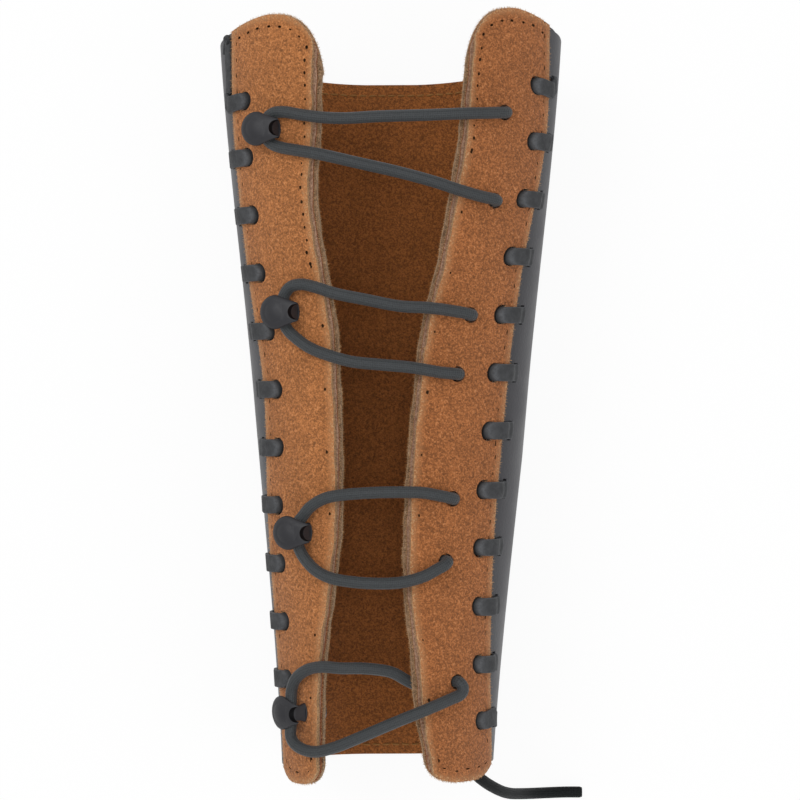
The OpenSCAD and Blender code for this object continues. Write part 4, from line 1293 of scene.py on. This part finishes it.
def rim_line(side, h, trim, inset, end_inset=None):
    """A line at the height h a distance inside a wing's free edge, and another inside its ends, as
    (places, up, away)."""
    q, y, _ = wing_grid(side, 0, trim)
    grid = np.concatenate([over(q, y, h), q[..., None]], -1)
    outline = even_steps(np.concatenate([grid[-1, 4:], grid[::-1, -1][1:], grid[0, ::-1][1:-4]]), 0.4)
    up = skin_normal(outline[:, 3], outline[:, 1])
    tangent = unit(np.gradient(outline[:, :3], axis=0))
    inward = unit(np.cross(tangent, up)) * -side
    for _ in range(12):
        inward[1:-1] = unit(inward[:-2] + 2 * inward[1:-1] + inward[2:])
    depth = mix(inset if end_inset is None else end_inset, inset, tangent[:, 1] ** 2)
    return outline[:, :3] + inward * depth[:, None], up, -inward


def wing_ply(name, side, ply, first, trim, material, needles):
    """One ply of a wing with its holes, between the two heights of ply."""
    q, y, open_cells = wing_grid(side, first, trim)
    grids = [over(q, y, h) for h in (ply[1], ply[0])]
    rim = rim_distance(grids[0])
    if side > 0:
        grids = [g[:, ::-1] for g in grids]
        open_cells, rim = open_cells[:, ::-1], rim[:, ::-1]
    made = dress(sheet(name, *grids, open_cells, rim), material)
    finish_mesh(bevel(made, 0.28))
    places, radius = ((HOOK_PLACES, m.shank_diameter / 2 + m.shank_clearance) if side < 0 else
                      (CORD_HOLES, m.cord_radius + m.cord_clearance))
    profile = [(0, -CUT_REACH), (radius, -CUT_REACH), (radius, CUT_REACH), (0, CUT_REACH)]
    cutters = [turned("cutter", profile, 40, place_frame(place)) for place in places]
    for cutter in cutters:
        dress(cutter, material)
    cut_out(made, cutters + needles)
    made.data.set_sharp_from_angle(angle=SHARP)
    return made


class GUARD_OT_wings(GuardOperator, bpy.types.Operator):
    """Makes the three plies of each wing, with needle holes in the suede"""
    bl_idname = "guard.wings"
    bl_label = "Wings"

    def make(self, finish):
        inner = m.wing_lap + m.butt_gap
        # Painted shade: the walls of the needle holes and slits are coloured this dark brown.
        dark = plain("needle_hole_dark", (0.026, 0.014, 0.007), (0.08, 0.044, 0.022), (0.2, 2), (0.9, 1.0),
                     gloss=0.05)
        for side, word in SIDES.items():
            tone = finish.left_suede if side < 0 else finish.right_suede
            parts = (
                ("suede", m.suede_ply, 0, 2 * m.ply_step, "wing_suede",
                 suede(f"{word}_suede_nap", tone, finish.raw, side)),
                ("core", m.core_ply, inner, m.ply_step, "stiffener",
                 stiffener(f"{word}_stiffener_board", finish.stiffener)),
                ("lining", m.lining_ply, inner, 0, "ply_suede",
                 ply_suede(f"{word}_ply_nap", finish.ply, finish.ply_edge)))
            for part, ply, first, trim, slot, material in parts:
                cutters = self.needle_cutters(side, dark) if part == "suede" else []
                made = wing_ply(f"{word}_wing_{part}_ply", side, ply, first, trim, material, cutters)
                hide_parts(f"{word}_wing_{part}")
                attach(made, f"{word}_wing")

    @staticmethod
    def needle_cutters(side, dark):
        """Round holes along the free edge and the ends, and slits along the seam, whose walls take the
        painted shade of the dark material.
        """
        top = m.suede_ply[1]
        edge = rim_line(side, top, 2 * m.ply_step, m.needle_inset, m.needle_end_inset)
        seam = seam_line(side, top, m.slit_inset)
        clear = edge[0][:, 1] > NEEDLES_TO[side]
        wrist = edge[0][:, 1] < 8 - m.guard_length / 2
        hole = {"Length": m.needle_hole * 1.2 * MM, "Width": m.needle_hole * 0.85 * MM, "Depth": 1.8 * MM}
        slit = {"Length": m.needle_hole * 1.6 * MM, "Width": m.needle_hole * 0.45 * MM, "Depth": 1.6 * MM}
        pattern = needle_pattern()
        sunken_pitch = 4.6 * m.needle_pitch
        return [repeated(name, pattern, [tuple(part[kept] for part in line)], dark, seed + side,
                         Pitch=pitch * MM, **sizes)
                for name, line, kept, seed, pitch, sizes in (
                    ("needles", edge, clear, 3, m.needle_pitch, hole),
                    ("sunken_needles", edge, ~clear & ~wrist, 5, sunken_pitch, hole),
                    ("end_slits", edge, wrist, 9, m.needle_pitch, slit),
                    ("slits", seam, slice(None), 7, m.slit_pitch, slit))]


class GUARD_OT_lacing(GuardOperator, bpy.types.Operator):
    """Makes the flat thong that laces each wing to the back"""
    bl_idname = "guard.lacing"
    bl_label = "Lacing"

    def make(self, finish):
        material = thong_leather("thong_grain", finish.thong)
        for side, word in SIDES.items():
            made = dress(thong(f"{word}_thong", side), material)
            joint = JOINTS[f"{word}_wing_open"]
            pivot, axis = Vector(joint["pos_m"]), Vector(joint["axis"])
            down = axis.cross(Vector((side, 0, 0.45))).normalized()
            down *= -1 if down.z > 0 else 1
            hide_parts(f"{word}_lace")
            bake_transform(made)
        knots = [lace_knot("thong_knots", *place) for place in LACE_KNOTS]
        ends = [lace_end("lace_end", *run) for run in LACE_ENDS]
        made = dress(combine(knots[0], knots[1:] + ends, "UNION"), material)
        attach(made, "back")


def lace_place(side, d, y, h):
    """Place a distance d inside the laced edge of a wing, at a height over the leather of the back."""
    return over(side * lap_angle(side, y, d), y, h)


def lace_knot(name, side, d, y, width):
    """A knot at the end of a thong, drawn up small beside the laced edge."""
    t = np.linspace(0, 2 * math.pi, 73)
    ring = np.stack([(2 + np.cos(3 * t)) * np.cos(2 * t), (2 + np.cos(3 * t)) * np.sin(2 * t),
                     1.1 * np.sin(3 * t)], -1) * width / 7.5
    origin = lace_place(side, d, y, width * 0.45)
    out = skin_normal(side * lap_angle(side, y, d), y)
    e = unit(np.cross([0, 1, 0], out))
    route = ring @ np.array([e, np.cross(out, e), out]) + origin
    first, second = route_frames(route)
    return swept(name, route, first, second, circle(width * 0.17, 10))


def lace_end(name, side, points, width):
    """A thong's end that lies on the leather beside the laced edge, through (distance, place along)."""
    d, y, h = even_steps(rounded(np.array([(*p, 0.7) for p in points], float), 3), 0.6).T
    route, out = lace_place(side, d, y, h), skin_normal(side * lap_angle(side, y, d), y)
    across = unit(np.cross(out, np.gradient(route, axis=0)))
    a, b = width / 2, 0.5
    section = [(a - 0.2, b), (a, b - 0.3), (a, 0.2 - b), (a - 0.2, -b), (0.2 - a, -b), (-a, 0.2 - b),
               (-a, b - 0.3), (0.2 - a, b), (0, b + 0.15)]
    return swept(name, route, across, out, section)


def crescent(w):
    """How far a thong's rounded end falls back at a share w of its half width, for an end 1 wide."""
    return 1 - np.sqrt(1 - 0.97 * np.minimum(np.abs(w), 1) ** 2)


def stitch_habits(side):
    """Small differences between the stitches of a seam: (shift at the hole, shift at the slot, width)."""
    draw = np.random.RandomState(11 + side)
    count = stitches(side)
    return np.stack([draw.uniform(-0.22, 0.22, count), draw.uniform(-0.25, 0.25, count),
                     draw.uniform(0.94, 1.04, count)], -1)


def thong(name, side):
    """One thong: each stitch comes up a hole of the wing, over its edge, and down a slot of the back."""
    above = m.suede_ply[1] + m.lace_clearance + m.lace_thickness / 2
    on_back = m.lace_clearance + m.lace_thickness / 2
    inside = m.back_ply[0] - m.lace_inside_gap - m.lace_thickness / 2
    turn, hole, slot = m.lace_turn, m.hole_inset, m.slot_offset
    stitch = [
        (hole - turn, inside, 0), (hole - turn / 4, inside + turn / 3, 0), (hole, inside + turn, 0),
        (hole + 0.1, m.suede_ply[1] + turn / 15, 0), (hole - turn / 3, above - turn / 6, 0),
        (hole - turn, above + 0.1, 0), (turn / 3, above + 0.1, 0), (-turn * 0.8, above - turn * 0.2, 0),
        (-turn * 1.7, on_back + 0.35, 0), (-slot + turn * 0.5, on_back + 0.3, 1),
        (-slot, on_back - turn / 2, 1), (-slot, inside + turn * 0.65, 1), (-slot + turn / 3, inside, 1)]
    last = len(stitch) - 1

    def point(y, d, h, on_shell):
        return lace_place(side, d, y, h) if on_shell else over(*wing_place(side, y, d, 0, 0), h)
    route, width, bow, worn = [], [], [], []
    for k, (hole_shift, slot_shift, wide) in enumerate(stitch_habits(side)):
        for i, (d, h, on_shell) in enumerate(stitch):
            y = stitch_y(side, k) + mix(hole_shift, slot_shift, i / last)
            route.append(point(y, d, h, on_shell))
            width.append(unit(point(y + 1, d, h, on_shell) - point(y - 1, d, h, on_shell)) * wide)
            near_hole = np.clip((d - hole + 2.4 * turn) / turn, 0, 1) * np.clip((h + 2) / 3, 0, 1)
            inward = unit(point(y, d + 1, h, on_shell) - point(y, d, h, on_shell))
            bow.append(-inward * near_hole)
            worn.append([1.0 if i == last - 2 else 0.35 if i == 4 else 0.0])
    values = np.concatenate([np.array(v) for v in (route, width, bow, worn)], 1)
    values = rounded(values, 3)
    route, width, bow, worn = values[:, :3], values[:, 3:6], values[:, 6:9], values[:, 9]
    tangent = unit(np.gradient(route, axis=0))
    width = width - tangent * (width * tangent).sum(-1, keepdims=True)
    out = unit(np.cross(tangent, width))
    a, b = m.lace_width / 2, m.lace_thickness / 2
    r = 0.35
    across = np.linspace(-1, 1, 13)
    top = [(w * (a - r), b + 0.12 * (1 - w * w)) for w in across]
    under = [(-w * (a - r), -b) for w in across]
    rim = [(a - 0.1, b - 0.1), (a, b - r), (a, r - b), (a - 0.1, 0.1 - b)]
    section = np.array(top + rim + under + [(-x, -y) for x, y in rim])
    fall = crescent(section[:, 0] / a) * a * 0.85
    rings = (route[:, None] + section[None, :, :1] * width[:, None] + section[None, :, 1:] * out[:, None]
             + fall[None, :, None] * bow[:, None])
    made = ringed(name, rings.reshape(-1, 3), len(route))
    # Painted highlight: both edges of the thong are made paler through the worn attribute, which also holds
    # the rub at the bends.
    edge = np.clip((np.abs(section[:, 0]) - a + 0.3) / 0.3, 0, 1) * 0.4
    add_attribute(made, "worn", np.maximum(worn[:, None], edge[None]).ravel())
    return made


def rounded(points, times=2):
    """The points with their corners cut, which rounds the line."""
    for _ in range(times):
        near, far = mix(points[:-1], points[1:], 0.25), mix(points[:-1], points[1:], 0.75)
        points = np.concatenate([points[:1], np.stack([near, far], 1).reshape(-1, points.shape[1]),
                                 points[-1:]])
    return points


class GUARD_OT_hooks(GuardOperator, bpy.types.Operator):
    """Makes the four hooks, and finishes the washers behind them"""
    bl_idname = "guard.hooks"
    bl_label = "Hooks"

    def make(self, finish):
        black = enamel("hook_enamel", finish.enamel)
        # Painted shade: a darker, less glossy copy of the enamel for the hollow over each hook's neck.
        recess = enamel("hook_recess", shade(finish.enamel, 0.25), 0.08)
        for k in range(len(HOOK_PLACES)):
            made = hook(k, black, recess)
            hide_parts(f"hook_{k + 1}")
            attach(made, "left_wing")
        steel = plain("washer_steel", shade(finish.steel, 0.7), shade(finish.steel, 1.1), (1.2, 4, 0.7),
                      (0.28, 0.5), (0.2, 0.8), bump=0.08, metallic=(0.0, 0.3, 0.9, 1.0))
        dress(frame["nodes"]["hook_washers"], steel)


def hook(k, black, recess):
    """A hook: foot and shank, a flat neck that bends over, and a domed cap on a shoulder that widens
    from the neck to the cap and is hollowed out over the neck."""
    washer_low = m.lining_ply[0] - m.suede_ply[1] - m.washer_gap - m.washer_thickness
    end = washer_low - m.peen_gap - m.peen_height
    shank, head, foot = m.shank_diameter / 2, m.shank_diameter / 2 + m.peen_lip, m.foot_length / 2
    top = m.foot_rise + m.foot_thickness
    profile = [(0, end), (head - 0.5, end), (head - 0.12, end + 0.14), (head, end + 0.35),
               (head, end + m.peen_height - 0.08), (head - 0.08, end + m.peen_height),
               (shank, end + m.peen_height), (shank, top - 0.1), (0, top - 0.1)]
    made = turned(f"hook_{k + 1}_enamelled", profile, 32)
    foot_profile = [(0, m.foot_rise), (foot - 0.1, m.foot_rise), (foot, m.foot_rise + 0.1),
                    (foot - 0.05, top - 0.12), (foot - 0.3, top), (0, top)]
    plate = turned("foot", foot_profile)
    plate.data.transform(Matrix.Diagonal((m.foot_width / m.foot_length, 1, 1, 1)))

    neck = hook_neck(top)
    radius = m.cap_diameter / 2
    dome = (radius ** 2 + m.cap_height ** 2) / (2 * m.cap_height)
    curve = [(x, m.cap_height - dome + math.sqrt(dome ** 2 - x ** 2))
             for x in np.linspace(radius - 0.5, 0, 14)]
    cap = turned("cap", [(0, 0), (radius - 1.2, 0), (radius - 0.45, 0.02), (radius - 0.12, 0.14),
                         (radius, 0.42), (radius - 0.06, 0.68)] + curve, 64)
    cap.data.transform(Matrix.Translation(Vector((-m.cap_offset, 0, m.hook_throat)) * MM))
    shoulder = shoulder_plate(radius, m.neck_flare / 2)
    lean = Matrix.Rotation(-math.radians(HOOK_LEANS[k]), 4, "Y")
    for part in (neck, cap, shoulder):
        part.data.transform(lean)
    hollow = turned("hollow", HOLLOW)
    hollow.data.transform(lean @ Matrix.Translation((m.shoulder_reach * MM, 0, 0)))
    for part in (made, plate, neck, shoulder, cap):
        dress(part, black)
    combine(made, [plate, neck, shoulder, cap], "UNION")
    # The faces cut by the hollow take its painted shade.
    combine(made, [dress(hollow, recess)], "DIFFERENCE")
    origin, rows = place_frame(HOOK_PLACES[k])
    turn = Matrix(rows.T.tolist()).to_4x4()
    turn.translation = Vector(origin * MM)
    made.data.transform(turn)
    made.data.set_sharp_from_angle(angle=math.radians(35))
    return bevel(made, 0.1, 2, 35)


def hook_neck(top):
    """The flat strip that rises from the foot, narrows where the cord lies, and bends under the cap."""
    bend = m.cap_offset / 2
    low = m.foot_rise + m.foot_thickness / 2
    centre = m.hook_throat + 0.15 - bend + m.neck_thickness / 2
    waist = top + m.hook_clearance + m.cord_radius
    line = [(0, z) for z in np.linspace(low, centre, 18)[:-1]]
    line += [(-bend + bend * math.cos(a), centre + bend * math.sin(a))
             for a in np.linspace(0, math.pi / 2, 14)]
    line = np.array(line)
    tangent = unit(np.gradient(line, axis=0))
    flare, narrow = m.neck_flare / 2, m.neck_width / 2 + 0.1
    half = np.interp(line[:, 1], [low, waist - 0.8, waist + 0.6, waist + 1.6, centre + bend],
                     [flare, narrow, narrow, flare - 0.2, flare])
    rings = []
    for (x, z), (tx, tz), reach in zip(line, tangent, half):
        for u, v in neck_section(reach, m.neck_thickness / 2):
            rings.append((x + tz * v, u, z - tx * v))
    return ringed("neck", rings, len(line))


def shoulder_plate(radius, half):
    """The plate under the dome, drawn in by straight sides from the cap's circle to two horns past the
    neck, and bent down a little there. Its upper face swells into the dome."""
    height = m.shoulder_thickness
    dx = m.cap_offset + m.shoulder_reach
    far = math.hypot(dx, half)
    first = math.atan2(half, dx) + math.acos((radius - 0.1) / far)
    arc = np.linspace(first, 2 * math.pi - first, 40)
    outline = [((radius - 0.1) * math.cos(a), (radius - 0.1) * math.sin(a)) for a in arc]
    horn = [(dx - 2.4, half + 0.75), (dx - 0.3, half + 0.05), (dx, half - 0.35)]
    outline += [(x, -y) for x, y in horn] + horn[::-1]
    rings = []
    for inset, z in ((0.5, 0), (0.12, 0.06), (0, 0.3), (0.05, height - 0.25), (0.3, height),
                     (1.0, height + 0.35), (2.0, height + 0.6)):
        for x, y in np.array(outline) * (1 - inset / (radius * 1.1)):
            bent = 0.05 * max(x - m.cap_offset + 1, 0) ** 2
            rings.append((x - m.cap_offset, y, z - bent + m.hook_throat))
    return ringed("shoulder", rings, 7)


def ringed(name, points, count):
    """A closed solid from rings of points, one after the other."""
    index = np.arange(len(points)).reshape(count, -1)
    after = np.roll(index, -1, 1)
    faces = np.stack([index[:-1], after[:-1], after[1:], index[1:]], -1).reshape(-1, 4).tolist()
    return outward(new_object(name, points, faces + [list(index[0][::-1]), list(index[-1])]))


def neck_section(half, b):
    """Half-rounded section of the neck strip."""
    corner = [(half - 0.3, b), (half - 0.08, b - 0.08), (half, b - 0.3)]
    right = corner + [(x, -y) for x, y in corner[::-1]]
    return right + [(-x, -y) for x, y in right]


class GUARD_OT_elastic(GuardOperator, bpy.types.Operator):
    """Makes the four loops of the elastic cord, its runs behind the wing, and its stopper knot"""
    bl_idname = "guard.elastic"
    bl_label = "Elastic cord"

    def make(self, finish):
        weave = braided("elastic_weave", finish.elastic, m.braid_pitch)
        for k in range(len(LOOP_HOLES)):
            made = cord_tube(f"loop_{k + 1}_cord", smooth_route(loop_route(k)))
            dress(made, weave)
            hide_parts(f"elastic_loop_{k + 1}")
            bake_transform(made)
        for k in range(len(BRIDGES)):
            made = cord_tube(f"bridge_{k + 1}_cord", smooth_route(bridge_route(k)))
            self.fasten(made, weave, f"elastic_bridge_{k + 1}")
        run = cord_tube("end_run_cord", smooth_route(over_place(END_RUN)))
        self.fasten(run, weave, "elastic_end_run")
        self.fasten(knot("stopper_knot"), weave, "elastic_knot")

    @staticmethod
    def fasten(made, material, node):
        dress(made, material)
        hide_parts(node)
        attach(made, "right_wing")


def knot(name):
    """The stopper knot at the start of the cord, drawn up behind its first hole."""
    top = m.lining_ply[0] - m.suede_ply[1] - m.cord_rest
    a = np.linspace(0, 2 * math.pi, 60)
    lift = top - m.cord_radius
    ring = np.stack([m.knot_radius * np.cos(a), m.knot_radius * np.sin(a), np.full_like(a, lift)], -1)
    origin, rows = place_frame(CORD_HOLES[0])
    tail = np.array([(0, 0, top), (0, 0, top - m.cord_diameter - m.knot_end)])
    made = cord_tube(name, even_steps(tail, CORD_STEP) @ rows + origin)
    ring_piece = cord_tube("ring", ring @ rows + origin)
    return combine(made, [ring_piece], "UNION")


class GUARD_OT_stitching(GuardOperator, bpy.types.Operator):
    """Makes the rows of thread at the ends of the lining, and the loose fibres on the raw edges"""
    bl_idname = "guard.stitching"
    bl_label = "Stitching and fibres"

    def make(self, finish):
        rows = [lining_row(m.thread_elbow_inset, 1), lining_row(m.thread_wrist_inset, -1)]
        twist = plain("lining_thread_twist", shade(finish.thread, 0.6), shade(finish.thread, 1.25),
                      (0.2, 3, 0.6), (0.55, 0.75), gloss=0.3, bump=0.2)
        thread = repeated("lining_thread", thread_pattern(), rows, twist, 21, Pitch=m.thread_pitch * MM,
                          Length=m.thread_pitch * 0.86 * MM, Thickness=m.thread_diameter * MM)
        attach(thread, "back")
        fibres = fibre_pattern()
        pale = plain("pale_fibre", shade(finish.raw, 0.7), shade(finish.raw, 1.15), (1.2, 3, 0.6),
                     (0.85, 1.0), gloss=0.1, contrast=(0.35, 0.65))
        for side, word in SIDES.items():
            lines = [rim_line(side, h, trim, 0.06) for ply, trim in (
                (m.suede_ply, 2 * m.ply_step), (m.core_ply, m.ply_step), (m.lining_ply, 0.0))
                for h in np.linspace(*ply, 4)[1:-1]]
            lines += [seam_line(side, h, 0.05) for h in np.linspace(*m.suede_ply, 4)[2:]]
            made = repeated(f"{word}_edge_fibres", fibres, lines, pale, 31 + side, Pitch=m.fibre_pitch * MM,
                            Length=m.fibre_length * MM, Thickness=m.fibre_thickness * MM)
            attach(made, f"{word}_wing")


def lining_row(inset, end):
    """A line across the inside of the lining near one of its ends, as (places, up, away)."""
    far = -m.slot_offset - m.slot_width / 2 - m.lining_side_gap
    columns, _ = back_columns(None, 0, far)
    inset += m.lining_inset
    rows = []
    for side in (-1, 1):
        heel, short = ((m.elbow_heel, elbow_short(side)) if end > 0 else (m.wrist_heel, wrist_short(side)))
        rows.append(np.array([end * (m.guard_length / 2 - heel - short - inset)]))
    h = m.back_lining_ply[0]
    places = back_grid(columns, rows, h)[0]
    up = unit(back_grid(columns, rows, h - 1)[0] - places)
    return places, up, np.tile([0.0, float(end), 0.0], (len(places), 1))


class GUARD_PT_panel(bpy.types.Panel):
    """Lists the steps that dress the guard, and its settings"""
    bl_label = "Arm Guard"
    bl_idname = "GUARD_PT_panel"
    bl_space_type = "VIEW_3D"
    bl_region_type = "UI"
    bl_category = "Arm Guard"

    def draw(self, context):
        for operator in OPERATORS:
            self.layout.operator(operator.bl_idname)
        for group in (*GROUPS, "guard_finish"):
            settings = getattr(context.scene, group)
            box = self.layout.box()
            for key in type(settings).__annotations__:
                box.prop(settings, key)


OPERATORS = (GUARD_OT_stage, GUARD_OT_tail, GUARD_OT_back, GUARD_OT_wings, GUARD_OT_lacing,
             GUARD_OT_hooks, GUARD_OT_elastic, GUARD_OT_stitching)


def register():
    for group in (*GROUPS.values(), GuardFinish):
        bpy.utils.register_class(group)
    for operator in OPERATORS:
        bpy.utils.register_class(operator)
    bpy.utils.register_class(GUARD_PT_panel)
    for name, group in {**GROUPS, "guard_finish": GuardFinish}.items():
        setattr(bpy.types.Scene, name, bpy.props.PointerProperty(type=group))


def unregister():
    for name in (*GROUPS, "guard_finish"):
        delattr(bpy.types.Scene, name)
    for known in reversed((*GROUPS.values(), GuardFinish, *OPERATORS, GUARD_PT_panel)):
        bpy.utils.unregister_class(known)


def main():
    register()
    for operator in OPERATORS:
        module, name = operator.bl_idname.split(".")
        getattr(getattr(bpy.ops, module), name)()


if __name__ == "__main__":
    main()
